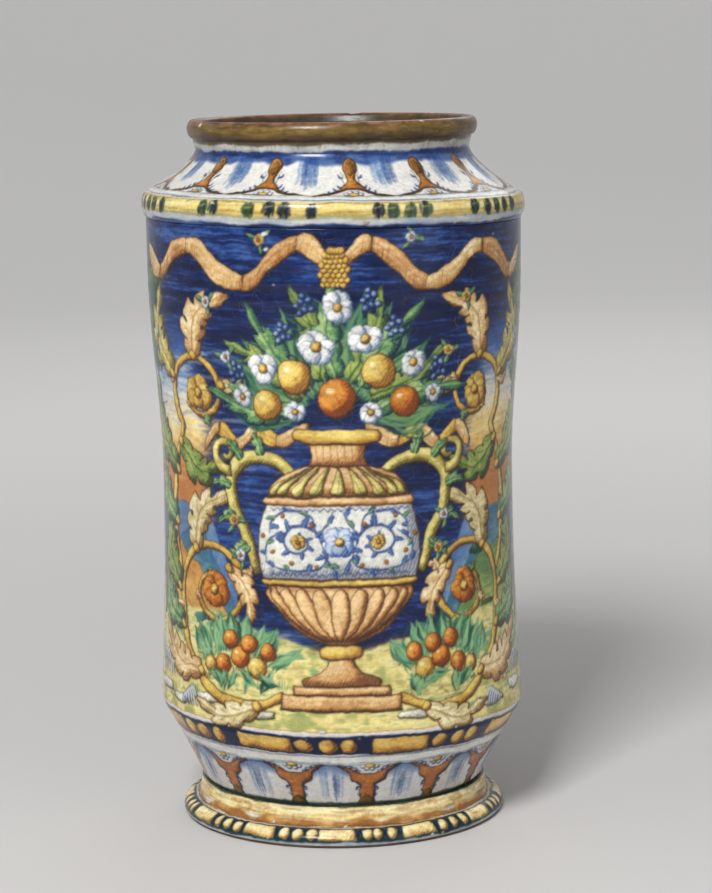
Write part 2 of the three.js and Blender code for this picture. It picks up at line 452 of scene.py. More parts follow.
def lipLine():
    # Underside ledge, the face leaning out to its widest, over the crest and a little way down inside
    r, top = f["neckRadius"] + f["lipProjection"], f["height"]
    ledge = f["neckRadius"] + f["neckFlare"]
    face = bend((ledge + 0.7, lipBottom + 0.1), (r - 0.2, lipBottom + 1.2),
        (r, top - f["lipWidestDrop"]), 8)
    crest = arc(r - f["lipCrestInset"], top - f["lipWidestDrop"], f["lipCrestInset"], f["lipWidestDrop"],
        0, 90, 12)[1:]
    roll = bend(crest[-1], (crest[-1, 0] - 1.5, top), innerEdge, 5)[1:]
    return np.vstack([(ledge, lipBottom), face, crest, roll, glazeEnd])


def insideLine():
    # From below the lip's glaze down to the middle of the floor
    shoulderIn = (f["wallRadius"] - f["wallThickness"], shoulderLevel - f["innerShoulderDrop"])
    pull = (neckR + f["innerShoulderPull"], shoulderIn[1] + f["innerShoulderPullRise"])
    shoulder = bend((neckR, neckLevel - f["innerNeckLength"]), pull, shoulderIn, 14)
    z = np.linspace(wallBulge, f["wallBottomLevel"], 40)
    wall = np.stack([wallRadiusAt(z) - f["wallThickness"], z], 1)
    floor = f["recessDepth"] + f["floorThickness"]
    coneIn = f["coneFootRadius"] - f["wallThickness"]
    corner = arc(coneIn - f["floorCorner"], floor + f["floorCorner"], f["floorCorner"],
        -f["floorCorner"], f["floorCornerDegrees"], 90, 8)
    return np.vstack([glazeEnd, (neckR, neckLevel), shoulder, wall, (coneIn, floor + f["floorBendRise"]),
        corner, (0, floor)])


foot, body = footLine(), bodyLine()
outside = np.vstack([foot, body])
run = np.concatenate([[0], np.cumsum(np.hypot(*np.diff(outside, axis=0).T))])
run += f["waistLevel"] - np.interp(f["waistLevel"], outside[:, 1], run)


def lev(z):
    # From a height on the jar to the place along its outline
    return float(np.interp(z, outside[:, 1], run))


def arcX(degrees):
    # From an angle round the jar to the place across the canvas
    return radians(degrees) * brush["wrapRadius"]


def fullBand(low, high):
    # A window adds two columns at each end; the inset takes them off, so that no column is painted twice
    inset = 2.01 / pixelsPerMm
    return windowOf(-wrapLength / 2 + inset, wrapLength / 2 - inset, low, high)


def wave(amount, cell):
    # A seamless wobble round the jar, as a function of the arc position
    count = max(3, int(wrapLength / cell))
    knots = about(0, amount, count)

    def at(x):
        t = (np.asarray(x, float) / wrapLength + 0.5) % 1 * count
        i = np.floor(t).astype(int)
        u = t - i
        u = u * u * (3 - 2 * u)
        return knots[i % count] * (1 - u) + knots[(i + 1) % count] * u
    return at


def band(low, high, colour, lowWave=None, highWave=None, soft=0.25, strength=1.0, mottled=0.0, second=None):
    # A ring of glaze colour round the jar; a wave is how far an edge wanders and how long its swings are
    spot = fullBand(low - 3, high + 3)
    x, y = spot["x"], spot["y"][:, None]
    bottom = low + (wave(*lowWave)(x) if lowWave else 0)
    top = high + (wave(*highWave)(x) if highWave else 0)
    mask = np.clip((y - bottom) / soft + 0.5, 0, 1) * np.clip((top - y) / soft + 0.5, 0, 1)
    colourPatch = paint(colour)
    if second is not None:
        share = np.clip((mottle[spot["at"]] - 0.5) * 2.4 * mottled + 0.35 + (streaks[spot["at"]] - 0.5)
            * mottled * 2, 0, 1)[..., None]
        colourPatch = colourPatch + (paint(second) - colourPatch) * share
    lay(spot, mask, colourPatch, strength)


def ringStroke(level, width, colour, wander, strength=0.85, patchy=0.4):
    x = np.linspace(-wrapLength / 2, wrapLength / 2, 400)
    y = level + wave(*wander)(x)
    w = width * (1 + 0.35 * wave(1, 12)(x))
    drawLine(np.stack([x, y], 1), np.maximum(w, 0.15), colour, strength, patchy)


# Angles in degrees round the jar, the front at 0 and the viewer's right positive. A lip chip is its angle,
# its place up the lip, its width and its depth; a group of rib dabs is from, to and how many
border = {
    "shoulderKeys": [-76.6, -49, -22, 6.2, 33, 57.5],
    "coneKeys": [-73, -46, -17.5, 9, 34.7, 59.6],
    "leafCount": 14,
    "beadUnits": 8,
    "beadStart": 19,
    "footUnits": 12,
    "footStart": -2,
    # The chip at -64 degrees is set where the lip shows a glint, so its white is also a painted highlight
    "lipChipsAndGlint": [(-88, 8.2, 3.4, 0.8), (-84, 9.2, 2, 0.4), (-64, 7.2, 2.2, 0.45), (-93, 6.4, 2.4, 0.5),
                 (38, 9, 1.8, 0.3), (131, 8.4, 3, 0.5), (170, 8.8, 3.8, 0.6)],
    "ribDabs": [(-84, -58, 5), (-43, -34, 2), (-27, -11, 3), (-8, -5, 1), (11, 29, 4), (43, 68, 5)],
}


def spreadRound(front, count):
    # The front angles as seen, the rest spaced evenly behind
    rest = count - len(front)
    gap = (360 + front[0] - front[-1]) / (rest + 1)
    return list(front) + [front[-1] + gap * (k + 1) + about(0, 1.2) for k in range(rest)]


def whiteGround():
    # Tin glaze over everything, faintly warm and cool by turns
    canvas[:] = paint("white")
    spot = fullBand(-20, 320)
    for cloud, tone, strength in ((mottle, "d6cebe", 0.5), (grain, "ecece8", 0.4)):
        share = np.clip((cloud[spot["at"]] - 0.45) * 2, 0, 1)
        lay(spot, share, paint(tone), strength)


def keyhole(degrees, foot, top, spread):
    # The rust shape between two leaves: a drop above, flaring into two wavy horns below
    x, h, j = arcX(degrees), top - foot, about(0, 0.15, 9)
    half = [(spread, 0.2), (spread * 0.74, 1.5 + j[0]), (spread * 0.62, 1.5), (spread * 0.5, 2.7 + j[1]),
        (spread * 0.4, 2.9), (spread * 0.33, 4.5 + j[2]), (2.5, h * 0.4), (1.7 + j[3] * 0.5, h * 0.52),
        (1.9, h * 0.62), (3 + j[4], h * 0.76), (3.2 + j[5], h * 0.88), (2.2, h * 0.99), (0, h * 1.04)]
    inner = [(0, 4.6 + j[6]), (spread * 0.22, 4), (spread * 0.44, 1.9), (spread * 0.74, 0.5)]
    outline = half + mirrored(half[-2::-1]) + mirrored(inner[::-1]) + inner[1:]
    outline = smoothLine(turnedTo(outline, x, foot), True, 4)
    paintForm(outline, "rustLeaf", "3a2c1e", 0.66, 1.2, 0.6)
    drop = [(-2, h * 0.72), (0, h * 0.6), (2, h * 0.72), (2.2, h * 0.88), (0, h), (-2.2, h * 0.88)]
    drop = smoothLine(turnedTo(drop, x, foot), True, 4)
    paintForm(drop, ("846230", "ba8a4a", "463822"), width=0, roundness=1, depth=0.8, strength=0.7)
    for k in range(5):
        q = foot + h * (0.42 + 0.12 * k)
        drawLine([(x - 1.4, q), (x + 1.2, q + 0.8)], 0.3, "583c20", 0.55, 0.4)


def berries(x, y, up, scale=1):
    # Four white berries over a yellow one
    for px, py in (-3.1, 1), (-1.3, 2.2), (1.2, 2.3), (3, 1.1):
        q = ringLine(x + px * scale + about(0, 0.12), y + up * (py * scale), 1.25 * scale, 1.05 * scale, 13)
        paintForm(q, "daisy", "ink", 0.32, 0.7, 0.6)
    q = ringLine(x, y + up * 0.7 * scale, 2.3 * scale, 1.15 * scale, 15)
    paintForm(q, "yellow", "olive", 0.35, 0.7)


def leafBetween(a, b, foot, top, direction, inkLine):
    # The scalloped edge of a white leaf between two rust shapes, with blue hooks in its middle notches
    xa, xb = arcX(a), arcX(b)
    middle, half, h = (xa + xb) / 2, (xb - xa) / 2, top - foot
    base = foot if direction > 0 else top
    for side in (-1, 1):
        notches = [(half * 0.1, 0.5), (half * 0.34, 0.8), (half * 0.54, 1.8), (half * 0.66, 3.4),
            (half * 0.74, 5.4), (half * 0.79, h * 0.56), (half * 0.76, h * 0.72)]
        line = []
        for (p0, q0), (p1, q1) in zip(notches[:-1], notches[1:]):
            line += [(p0, q0), ((p0 + p1) / 2 + 0.9, (q0 + q1) / 2 - 0.7)]
        line.append(notches[-1])
        pts = smoothLine([(middle + side * p, base + direction * q) for p, q in line], steps=4)
        drawLine(pts, swelling(len(pts), 0.25, 0.6), inkLine, 0.75, 0.5)
        for p, q in notches[2:6]:
            # Each hook springs from its notch and bends in towards the leaf's middle
            root = (middle + side * (p + 0.6), base + direction * (q - 0.5))
            bow = (middle + side * (p - 1.1), base + direction * (q + 0.2))
            tip = (middle + side * (p - 1.7), base + direction * (q + between(1.2, 2.2)))
            hook = smoothLine([root, bow, tip], steps=4)
            drawLine(hook, swelling(len(hook), 0.4, 1.15), ("ink", "cobalt")[int(q) % 2], 0.85, 0.25)


def hatchedWash(x, y0, y1, width, colour, strokes=7, lean=0, strength=0.4):
    # Loose dry-brush strokes side by side, the way a leaf's middle is shaded
    for k in range(strokes):
        t = (k + 0.5) / strokes - 0.5
        px = x + t * width + about(0, 0.25)
        low = y0 + abs(t) * (y1 - y0) * 0.35 + about(0, 0.5)
        line = smoothLine([(px + lean, y1 + about(0, 0.4)), (px + lean * 0.4, (low + y1) / 2),
            (px, low)], steps=6)
        drawLine(line, swelling(len(line), width / strokes * 0.5, width / strokes * 1.25), colour,
            strength * between(0.6, 1.1), 0.7)


def shoulderBand():
    foot, top = lev(271.3), lev(284.4)
    keys = spreadRound(border["shoulderKeys"], border["leafCount"])
    # Blue under the lip, blotted at its lower edge, with brush marks running down out of it over each leaf
    band(top - 1.4, lev(288.1), "5c70aa", (0.7, 7), (0.3, 14), 1.6, 0.85, 1, "cobalt")
    band(lev(286.2), lev(288.2), "cobalt", (0.5, 7), (0.2, 12), 0.7, 0.85, 0.8, "cobaltDark")
    for a, b in zip(keys, keys[1:] + [keys[0] + 360]):
        middle = arcX((a + b) / 2)
        lean = (a + b) / 2 * 0.02
        for part in range(3):
            hatchedWash(middle + about(0, 1.2) - 0.6, foot + between(3.5, 8), top + 2, between(7, 11),
                ("cobaltLight", "6484be", "cobalt")[part], 6 - part, lean, 0.56 - 0.06 * part)
        leafBetween(a, b, foot, top, 1, "olive")
    for degrees in keys:
        keyhole(degrees, foot, top + 0.2, 0.5 * arcX(360 / border["leafCount"]) * 0.96)
        berries(arcX(degrees), foot + 0.2, 1, 0.98)
    # The white bead above the rib with a thin blue-grey line on its upper edge
    ringStroke(foot - 0.1, 0.6, "olive", (0.15, 20), 0.75)
    band(lev(269.5), foot - 0.35, "white", None, (0.15, 20), 0.3, 0.95)
    ringStroke(foot - 0.9, 0.5, "greyBlue", (0.15, 16), 0.55)
    scatter(90, lev(287.4), lev(290.6), (8, 26), (0.7, 1.8), ("cobalt", "cobaltLight", "greyBlue"),
        (0.15, 0.45), 0.15)
    ringStroke(lev(269.6), 0.8, "greyDark", (0.15, 16), 0.75)


def ribBand():
    low, high = lev(263.2), lev(269.1)
    band(lev(262.2), high, "e8d488", (0.25, 14), (0.15, 18), 0.6, 1, 0.9, "ceac5c")
    # Paler stripe along the upper half of the rounded rib: partly the rib's second yellow, partly a painted
    # highlight
    band(low + 2.6, high - 1.2, "f6eab0", (0.5, 12), (0.4, 9), 1.2, 0.85, 0.8, "ecd482")
    band(lev(261.8), low + 0.4, "969c78", (0.3, 10), (0.4, 8), 0.8, 0.6, 0.7, "greyBlue")
    for level, width, strength in ((high - 0.9, 0.6, 0.6), (high - 2, 0.35, 0.5), (low + 1.6, 0.6, 0.6),
            (low + 0.5, 0.4, 0.5)):
        ringStroke(level, width, "706e34", (0.3, 10), strength, 0.9)
    groups = list(border["ribDabs"])
    start = 82
    while start < 272:
        n = int(dice.integers(2, 6))
        groups.append((start, start + 5 * n, n))
        start += 5 * n + between(7, 15)
    for a, b, n in groups:
        for k in range(n):
            x = arcX(a + (b - a) * (k + 0.5) / n) + about(0, 0.4)
            y = (low + high) / 2 - 0.6 + about(0, 0.3)
            wide, dark = between(2, 3.1), dice.random() < 0.5
            for layer in range(7):
                px = x + (layer - 3) / 3 * wide * 0.7 + about(0, 0.2)
                reach = 3.3 * sqrt(1 - ((layer - 3) / 3.6) ** 2) * between(0.8, 1.1)
                tone = ("2c5038", "1c3432", "182042")[min(2, int(between(0, 2.2) + dark))]
                drawLine([(px + about(0.2, 0.2), y + reach), (px, y),
                    (px - about(0.2, 0.2), y - reach * 0.95)], [0.8, 1.4, 0.9], tone,
                    between(0.75, 0.95), 0.5)
            # A pale stroke across the dab carries the rib's painted highlight over it
            if dice.random() < 0.6:
                drawLine([(x - 1.4, y + 0.8), (x + 1.2, y + 1.3)], [0.9, 0.4], "eede8c", 0.65, 0.5)
    band(lev(260.3), lev(262.4), "white", None, (0.2, 14), 0.5, 0.95, 0.3, "greyBlue")


def reelsAndBeads(low, high, units, start, reelHalf, beadStart, beadGap, beadWide, tones, line):
    # Long reels with three round beads between them, all round the jar; angles in degrees
    for unit in range(units):
        centre = start + 360 / units * unit + about(0, 0.7)
        x0, x1 = arcX(centre - reelHalf), arcX(centre + reelHalf)
        half = [(x0, low + 0.5), (x0 + 0.4, high - 0.5), (x0 + 1.8, high), (x1 - 1.8, high),
            (x1 - 0.4, high - 0.5), (x1, low + 0.5), (x1 - 1.4, low), (x0 + 1.4, low)]
        reel = smoothLine(half, True, 4)
        paintForm(reel + about(0, 0.12, reel.shape), tones, line, 0.55, (high - low) * 0.25, 0.9)
        for k in range(4):
            sx, sy = between(x0 + 2, x1 - 8), between(low + 0.8, high - 0.8)
            drawLine([(sx, sy), (sx + between(4, 7), sy + about(0, 0.2))], between(0.3, 0.8),
                ("yellowLight", "yellowDark", "white", "rust")[k], 0.45, 0.6)
        for k in range(3):
            bx = arcX(centre + beadStart + beadGap * k + about(0, 0.35))
            wide, tall = beadWide * between(0.9, 1.1), (high - low) / 2 * between(0.92, 1.05)
            paintForm(roughRing(bx, (low + high) / 2, wide, tall, 0.15), tones, line, 0.6, wide * 0.45, 1.1)
            drawLine([(bx - wide * 0.4, high - 1.5), (bx + wide * 0.3, high - 1.4)], 0.75, "cream", 0.75)
            for s in range(3):
                drawLine([(bx - 2 + s, low + 0.9), (bx - 0.4 + s, low + 1.7)], 0.3, "orangeDark", 0.5)


def beadBand():
    low, high = lev(41.2), lev(49.8)
    band(low, high, "cobaltDark", (0.15, 20), (0.15, 20), 0.3, 0.95, 0.6, "ink")
    ringStroke(high - 0.2, 0.7, "ink", (0.2, 12), 0.85)
    reelsAndBeads(lev(41.5), lev(48.9), border["beadUnits"], border["beadStart"], 9.5, 13.7, 6.9, 4.3,
        "reel", "ink")
    scatter(34, high - 1, high - 0.5, (4, 12), (0.7, 0.9), ("ink",), (0.6, 0.8), 0.1)


def coneBand():
    top, low = lev(36.4), lev(16.3)
    keys = spreadRound(border["coneKeys"], border["leafCount"])
    band(low, top, "d8d2c8", (0.3, 12), (0.3, 12), 1, 0.75, 0.8, "c8ccd2")
    band(lev(36.2), lev(41), "white", (0.1, 20), (0.1, 20), 0.5, 0.9)
    ringStroke(lev(40.3), 0.8, "greyDark", (0.15, 20), 0.7)
    ringStroke(lev(36.8), 0.9, "greyBlue", (0.15, 20), 0.7)
    ringStroke(lev(36), 0.4, "greyDark", (0.15, 20), 0.6)
    for a, b in zip(keys, keys[1:] + [keys[0] + 360]):
        middle = arcX((a + b) / 2)
        # Arched head of the leaf, shaded blue, then long hatch strokes down its middle
        half = arcX((b - a) / 2) * 0.62
        hood = ringLine(middle, top - 6.5, half, 6, 20, 0, 180)
        spot = windowOf(middle - half - 1, middle + half + 1, top - 9, top)
        mask = fillMask(spot, hood)
        lay(spot, soften(mask, 1), paint("7080ac"), 0.75)
        lay(spot, soften(fillMask(spot, ringLine(middle, top - 9, half * 0.75, 5.5, 20, 0, 180)), 0.8),
            paint("white"), 0.5)
        hatchedWash(middle - 3.5, low + 2, top - 1.5, 4, "cobaltLight", 4, 0, 0.55)
        hatchedWash(middle + 3, low + 2, top - 2, 5, "828ebe", 4, 0, 0.6)
        hatchedWash(middle + about(0, 1), low + 3, top - 5, 3, "cobalt", 3, 0, 0.6)
        arch = ringLine(middle, top - 7.5, half * 1.18, 6.6, 16, 12, 168)
        drawLine(arch, swelling(len(arch), 0.3, 0.8, 0.5), "cobalt", 0.75, 0.4)
        leafBetween(a, b, low, top, -1, "ink")
    for degrees in keys:
        spread = 0.5 * arcX(360 / border["leafCount"]) * 0.86
        coneTrumpet(degrees, low, top, spread)
        berries(arcX(degrees), top - 0.3, -1, 1)


def coneTrumpet(degrees, low, top, spread):
    # Wide at the top like a cloak, narrowing to a stem that widens again at its dark foot
    x, h, j = arcX(degrees), top - low, about(0, 0.2, 8)
    half = [(0, h - 5.4), (spread * 0.3, h - 4.6 + j[0]), (spread * 0.62, h - 2),
        (spread * 0.98, h - 0.5), (spread * 0.72, h - 3.2), (spread * 0.6, h - 4.8 + j[1]),
        (spread * 0.54, h * 0.62), (3.9 + j[2], h * 0.52), (3.5, h * 0.4), (3.9 + j[3], h * 0.28),
        (3.2, h * 0.16), (4 + j[4], 0.4)]
    outline = smoothLine(turnedTo(half + mirrored(half[:0:-1]), x, low), True, 5)
    paintForm(outline, "trumpet", "28243a", 0.6, 1.5, 0.7, 80)
    foot = [(-3.4, 0.3), (-2.9, h * 0.16), (0, h * 0.24), (2.9, h * 0.16), (3.4, 0.3)]
    foot = smoothLine(turnedTo(foot, x, low), True, 5)
    paintForm(foot, ("604e22", "8c7032", "3a321a"), width=0, roundness=1.2, strength=0.85)
    for side in (-1, 1):
        for k in range(3):
            q = low + h * (0.5 - 0.14 * k)
            drawLine([(x + side * 3.9, q), (x + side * (5.6 - 0.3 * k), q + 1.1)], [0.8, 0.35], "cobalt",
                0.8)


def footBands():
    # Dark joint line, cream hollow with a paler band that is partly a painted highlight, ochre band, then
    # beads and reels on the rounded edge
    joint = lev(17.4)
    band(lev(15.4), joint + 0.2, "3a463e", (0.15, 12), (0.2, 9), 0.5, 0.85, 0.5, "5c6046")
    ringStroke(joint + 0.2, 0.5, "greyDark", (0.2, 9), 0.6)
    band(lev(10.3), lev(15.5), "f0e0a2", (0.4, 12), (0.1, 12), 0.8, 0.95, 0.5, "e8cc80")
    # Paler cream in the upper hollow: partly the glaze's lighter cream, partly a painted highlight
    band(lev(12), lev(15.2), "fcf4c8", (0.6, 12), (0.3, 12), 1.2, 0.7)
    band(lev(7.5), lev(10.2), "b67c38", (0.2, 9), (0.9, 10), 1.2, 0.95, 1, "deb268")
    ringStroke(lev(7.7), 0.7, "603e22", (0.2, 9), 0.75)
    ringStroke(lev(8.6), 0.5, "845428", (0.4, 12), 0.5, 0.9)
    scatter(190, lev(10.2), lev(15.2), (10, 26), (0.5, 1.8), ("d4a450", "b27c3c", "fcf4ce", "e4c470",
        "78542e"), (0.25, 0.65), 0.15)
    scatter(120, lev(7.6), lev(11.2), (4, 16), (0.2, 0.7), ("784620", "e0b268", "ba7a3a", "5c3a22"),
        (0.4, 0.6), 0.2)
    for k in range(34):
        # Brown glaze pooled in the hollow in places
        x, y = anywhere(), between(lev(10.6), lev(14.8))
        drawLine(roughRing(x, y, between(1.5, 5), between(0.5, 1.3), 0.3), between(0.8, 1.6), "b27c42",
            0.4, 0.8)
    low, high = lev(2.7), lev(7.35)
    band(low - 1.5, high + 0.2, "1e4246", None, (0.15, 12), 0.4, 0.95, 0.7, "1c284c")
    reelsAndBeads(low + 0.35, high - 0.5, border["footUnits"], border["footStart"], 6.6, 10, 5, 2.75,
        "footReel", "18323c")
    band(-20, low - 0.1, "ced4d2", None, (0.25, 7), 0.5, 0.95, 0.6, "a0b2c0")


def lipBand():
    # Ochre-brown over the lip, olive where it is thick, worn to pinkish clay along the crest, with a painted
    # highlight on the crest and painted shade along the underside
    start = float(run[-1])
    face, crest, end = start + 7.6, start + 11.5, start + 17
    band(start - 0.6, end, "785e32", (0.5, 6), None, 0.6, 1, 1.1, "5c4c2c")
    band(start + 3.4, face + 0.6, "987e3a", (0.5, 6), (0.4, 8), 1.4, 0.8, 1.1, "76602e")
    scatter(420, start + 4.2, face + 1.2, (1.5, 7), (0.25, 0.6),
        ("c8ac54", "543e20", "dcc476", "785c28"), (0.3, 0.65), 0.25)
    # Darker brown along the lip's lower edge: the glaze's own brown, deepened as painted shade on the
    # underside
    band(start - 0.8, start + 2.2, "5c482e", (0.2, 6), (0.6, 6), 1, 0.75, 0.6, "463a2c")
    band(face - 0.2, crest + 0.8, "9e7058", (0.5, 7), (0.6, 9), 1, 0.85, 1.1, "6e4e38")
    # A paler line along the top of the crest: worn clay, lightened as a painted highlight
    band(face + 1.2, face + 2.6, "ceb096", (0.4, 7), (0.4, 7), 0.8, 0.5, 1.1, "8c644c")
    band(crest + 1.4, end + 3, "605244", (0.5, 8), None, 1.4, 0.85, 0.8, "4a423c")
    scatter(520, start + 0.4, crest + 2, (0.3, 2.2), (0.3, 0.9),
        ("46321e", "3a2c1e", "bea05a", "7a562c", "d2ba8c"), (0.3, 0.7), 0.2)
    scatter(280, start + 0.6, face + 0.8, (8, 20), (0.3, 1), ("544024", "aa8e4c", "68502a", "463826"),
        tilt=0.15)
    # Chips: white, washed lighter above left and darker below right as painted light and shade; the one at
    # -64 degrees is also a painted highlight
    for degrees, place, wide, _ in border["lipChipsAndGlint"]:
        chip = roughRing(arcX(degrees), start + place, wide * 0.85, wide * 0.5, 0.2 * wide, 8)
        paintForm(chip, ("ece2ce", "white", "ba9e7e"), "785c42", 0.3, 0.5)
    # Grey-white strip under the lip, its grey partly the glaze's tone and partly painted shade from the lip
    # above, stained where the brown has run; the dark brown band close under the ledge is painted shade in
    # the brown of the glaze
    band(lev(288), start - 1.2, "cecec8", (0.3, 9), (0.5, 7), 0.7, 0.9, 0.8, "a8aaa8")
    band(start - 1.7, start + 0.2, "685434", (0.35, 9), None, 0.7, 0.9, 0.8, "544630")
    for k in range(90):
        x = anywhere()
        drawLine([(x, start), (x + about(0, 0.3), start - between(1.8, 4.2))], [between(0.8, 2.6), 0.3],
            "705c3e", between(0.2, 0.5), 0.5)


def glazeLosses():
    # Small chips and pits: white where only the colour has gone, buff where the glaze has; the first four
    # also stand for a glint, a painted highlight
    # The first four, a vertical run at about -19 degrees under the rib, are white chips painted where the
    # glaze shows a glint
    chipsAndGlint = [(arcX(-20.5), 256, 1.6), (arcX(-20), 250, 1), (arcX(-19), 243, 0.8), (arcX(-18), 236, 0.6),
        (arcX(9), 262.5, 1.2), (arcX(37), 261, 0.9), (arcX(55), 254, 0.8)]
    for k in range(46):
        edge = (lev(268.6), lev(262.8), lev(53), lev(48.6), lev(8.6), lev(3))[k % 6]
        chipsAndGlint.append((anywhere(), edge + about(0, 0.5), between(0.4, 1.3)))
    # Each is washed lighter above left and darker below right, painted light and shade on its edges
    for x, y, wide in chipsAndGlint:
        tone = "white" if dice.random() < 0.6 else "d6b892"
        paintForm(roughRing(x, y, wide, wide * 0.6, 0.2 * wide, 7), (tone, "white", "aaa096"), "78685a",
            0.22, 0.4)
    scatter(900, lev(4), lev(290), (0.1, 0.3), (0.18, 0.5), ("3c3228", "ecece8", "78603c"), (0.25, 0.7), 0)


def pickUp(rows, cols):
    # The canvas colours between its cells, the seam closed
    r, c = rows.astype(int), cols.astype(int)
    fr, fc = (rows - r)[..., None], (cols - c)[..., None]
    c, n = c % canvasCols, (c + 1) % canvasCols
    low = canvas[r, c] * (1 - fc) + canvas[r, n] * fc
    high = canvas[r + 1, c] * (1 - fc) + canvas[r + 1, n] * fc
    return low * (1 - fr) + high * fr


# How far the edges wander in the kiln, in millimetres; how much all colours bleed and the blues besides;
# the fired depth of tone, the lean of the blues to azure and what is left of the colours' strength
kiln = {"wander": 0.9, "flutter": 0.5, "bleed": 0.18, "blueBleed": 0.3, "depth": 1.3, "azure": 0.26,
    "strength": 0.86}


def fireColours():
    dx = (cloudNoise(9, 7) - 0.5) * kiln["wander"] + (cloudNoise(2.2, 1.8) - 0.5) * kiln["flutter"] * 1.1
    dy = (cloudNoise(8, 8) - 0.5) * kiln["wander"] + (cloudNoise(2, 2) - 0.5) * kiln["flutter"]
    rows = np.clip(np.arange(canvasRows)[:, None] + dy * pixelsPerMm, 0, canvasRows - 1.001)
    cols = (np.arange(canvasCols)[None] + dx * pixelsPerMm) % canvasCols
    moved = pickUp(rows, cols)
    blurred = np.stack([soften(moved[..., k], 0.55) for k in range(3)], -1)
    blue = np.clip((blurred[..., 2] - blurred[..., 0]) * 2.4, 0, 1)[..., None]
    canvas[:] = moved + (blurred - moved) * (kiln["bleed"] + kiln["blueBleed"] * blue)
    pigment = 1 + (grain - 0.5) * 0.1 + (mottle - 0.5) * 0.1
    fired = np.clip(canvas * pigment[..., None], 0, 1) ** kiln["depth"]
    cold = np.clip(fired[..., 2] - fired[..., 0], 0, 1)
    fired[..., 0] -= cold * kiln["azure"]
    fired[..., 1] -= cold * 0.04
    grey = fired.mean(2, keepdims=True)
    canvas[:] = grey + (fired - grey) * kiln["strength"]


def blendStops(value, stops):
    # Colour by level through a list of (level, colour) pairs
    levels = [s[0] for s in stops]
    tones = np.array([paint(s[1]) for s in stops])
    return np.stack([np.interp(value, levels, tones[:, k]) for k in range(3)], -1).astype(np.float32)


sky = [(150, "ce8c48"), (157, "dea45a"), (164, "ecc87c"), (173, "f2de9e"), (181, "eee4c4"),
    (189, "ced4da"), (196, "96a6c8"), (203, "687cb6"), (214, "485a9e"), (235, "344286"), (262, "2c3674")]


def paintSky():
    spot = fullBand(lev(52.5), lev(260.4))
    x, y = spot["x"], spot["y"][:, None]
    at = spot["at"]
    drift = (mottle[at] - 0.5) * 10 + (streaks[at] - 0.5) * 18 + wave(4, 45)(x)
    away = blendStops(y + drift, sky)
    # Cobalt, lighter where the brush ran dry; behind the urn it runs down to the ground
    patches = cloudNoise(34, 10)[at] - 0.5
    tone = np.clip(0.44 + (streaks[at] - 0.5) * 2.3 + patches * 0.7 + (grain[at] - 0.5) * 0.4, 0, 1)
    deep = blendStops(tone, [(0, "1c2250"), (0.45, "2a3570"), (0.75, "3e5090"), (1, "6274ae")])
    edge = 60 + wave(3.5, 14)(y[:, 0])[:, None] + (streaks[at] - 0.5) * 14
    middle = (1 - smooth(-4, 9, np.abs(x) - edge)) * smooth(82, 90, y + wave(2, 9)(x))
    high = smooth(200, 226, y + drift * 0.6)
    share = np.maximum(middle, high)[..., None]
    patch = away + (deep - away) * share
    mask = np.clip((lev(260) + wave(0.5, 11)(x) - y) / 1.2 + 0.5, 0, 1)
    lay(spot, mask, patch, 1)
    scatter(4200, 90, 259, (2, 11), (0.3, 0.9), ("cobaltDark", "ink", "5064a0", "1c2252", "687ab0"),
        (0.2, 0.6), 0.35, lambda px, py: py > 208 or abs(px) < 60)


def cloudStreaks():
    # White and blue streaks above the yellow of the dawn, away from the urn
    def beside(px, py):
        return abs(px) > 58

    scatter(310, 172, 207, (8, 40), (0.8, 2.6), ("white", "a6b4ce", "eeead6", "788cbe"), tilt=1.2,
        keep=beside)
    scatter(220, 152, 182, (8, 34), (0.6, 1.8), ("yellowLight", "ecbe6e", "f6e8be", "tan"), (0.2, 0.45),
        0.6, beside)


def hill(crest, foot, rough, contours, tones):
    # A hillside: its crest wanders, its colour runs down, and loose contour strokes follow the slope
    (x0, x1), (top, bottom, line, shade) = (crest[0][0], crest[-1][0]), tones
    xs = np.arange(x0, x1 + 0.1, 1.5)
    count = int((x1 - x0) / 14)
    knots = np.interp(np.linspace(0, 1, len(xs)), np.linspace(0, 1, count), about(0, rough, count))
    small = np.interp(np.linspace(0, 1, len(xs)), np.linspace(0, 1, count * 4),
        about(0, rough * 0.22, count * 4))
    end = np.clip(np.minimum(xs - x0, x1 - xs) / 22, 0, 1) ** 0.6
    ys = foot + (np.interp(xs, *zip(*crest)) - foot) * end + (knots + small) * end
    outline = np.vstack([np.stack([xs, ys], 1), [(x1, foot), (x0, foot)]])
    spot = windowOf(x0 - 1, x1 + 1, foot - 0.5, ys.max() + 2)
    mask = fillMask(spot, outline)
    y = spot["y"][:, None]
    crestAt = np.interp(spot["x"], xs, ys)
    depth = np.clip((crestAt - y) / max(ys.max() - foot, 1), 0, 1)
    at = spot["at"]
    share = np.clip(depth + (mottle[at] - 0.5) * 0.6 + (streaks[at] - 0.5) * 0.35, 0, 1)[..., None]
    patch = paint(top) + (paint(bottom) - paint(top)) * share
    lay(spot, mask, patch, 0.96)
    pts = np.stack([xs, ys], 1)
    for k in range(contours):
        drop = (k + 0.6) * (ys.mean() - foot) / (contours + 1)
        i, j = dice.integers(0, len(xs) // 3), dice.integers(len(xs) // 2, len(xs))
        part = pts[i:j] - (0, drop)
        part = part[part[:, 1] > foot]
        if len(part) > 2:
            drawLine(part, swelling(len(part), 0.2, between(0.5, 1.3)), shade, 0.45, 0.6)
    for k in range(int((x1 - x0) * 1.6)):
        # Short strokes down the slope give the washes a grain
        i = dice.integers(1, len(xs) - 2)
        px, py = pts[i] - (0, between(0.5, max(ys[i] - foot, 1)))
        fall = (ys[i + 1] - ys[i - 1]) * 0.8 - 0.8
        drawLine([(px, py), (px + 2.6, py + fall)], [0.8, 0.2], (top, bottom, shade)[k % 3],
            between(0.25, 0.6), 0.6)
    drawLine(pts[2:-2], 0.5 + 0.25 * np.sin(xs[2:-2] * 0.7), line, 0.7, 0.4)


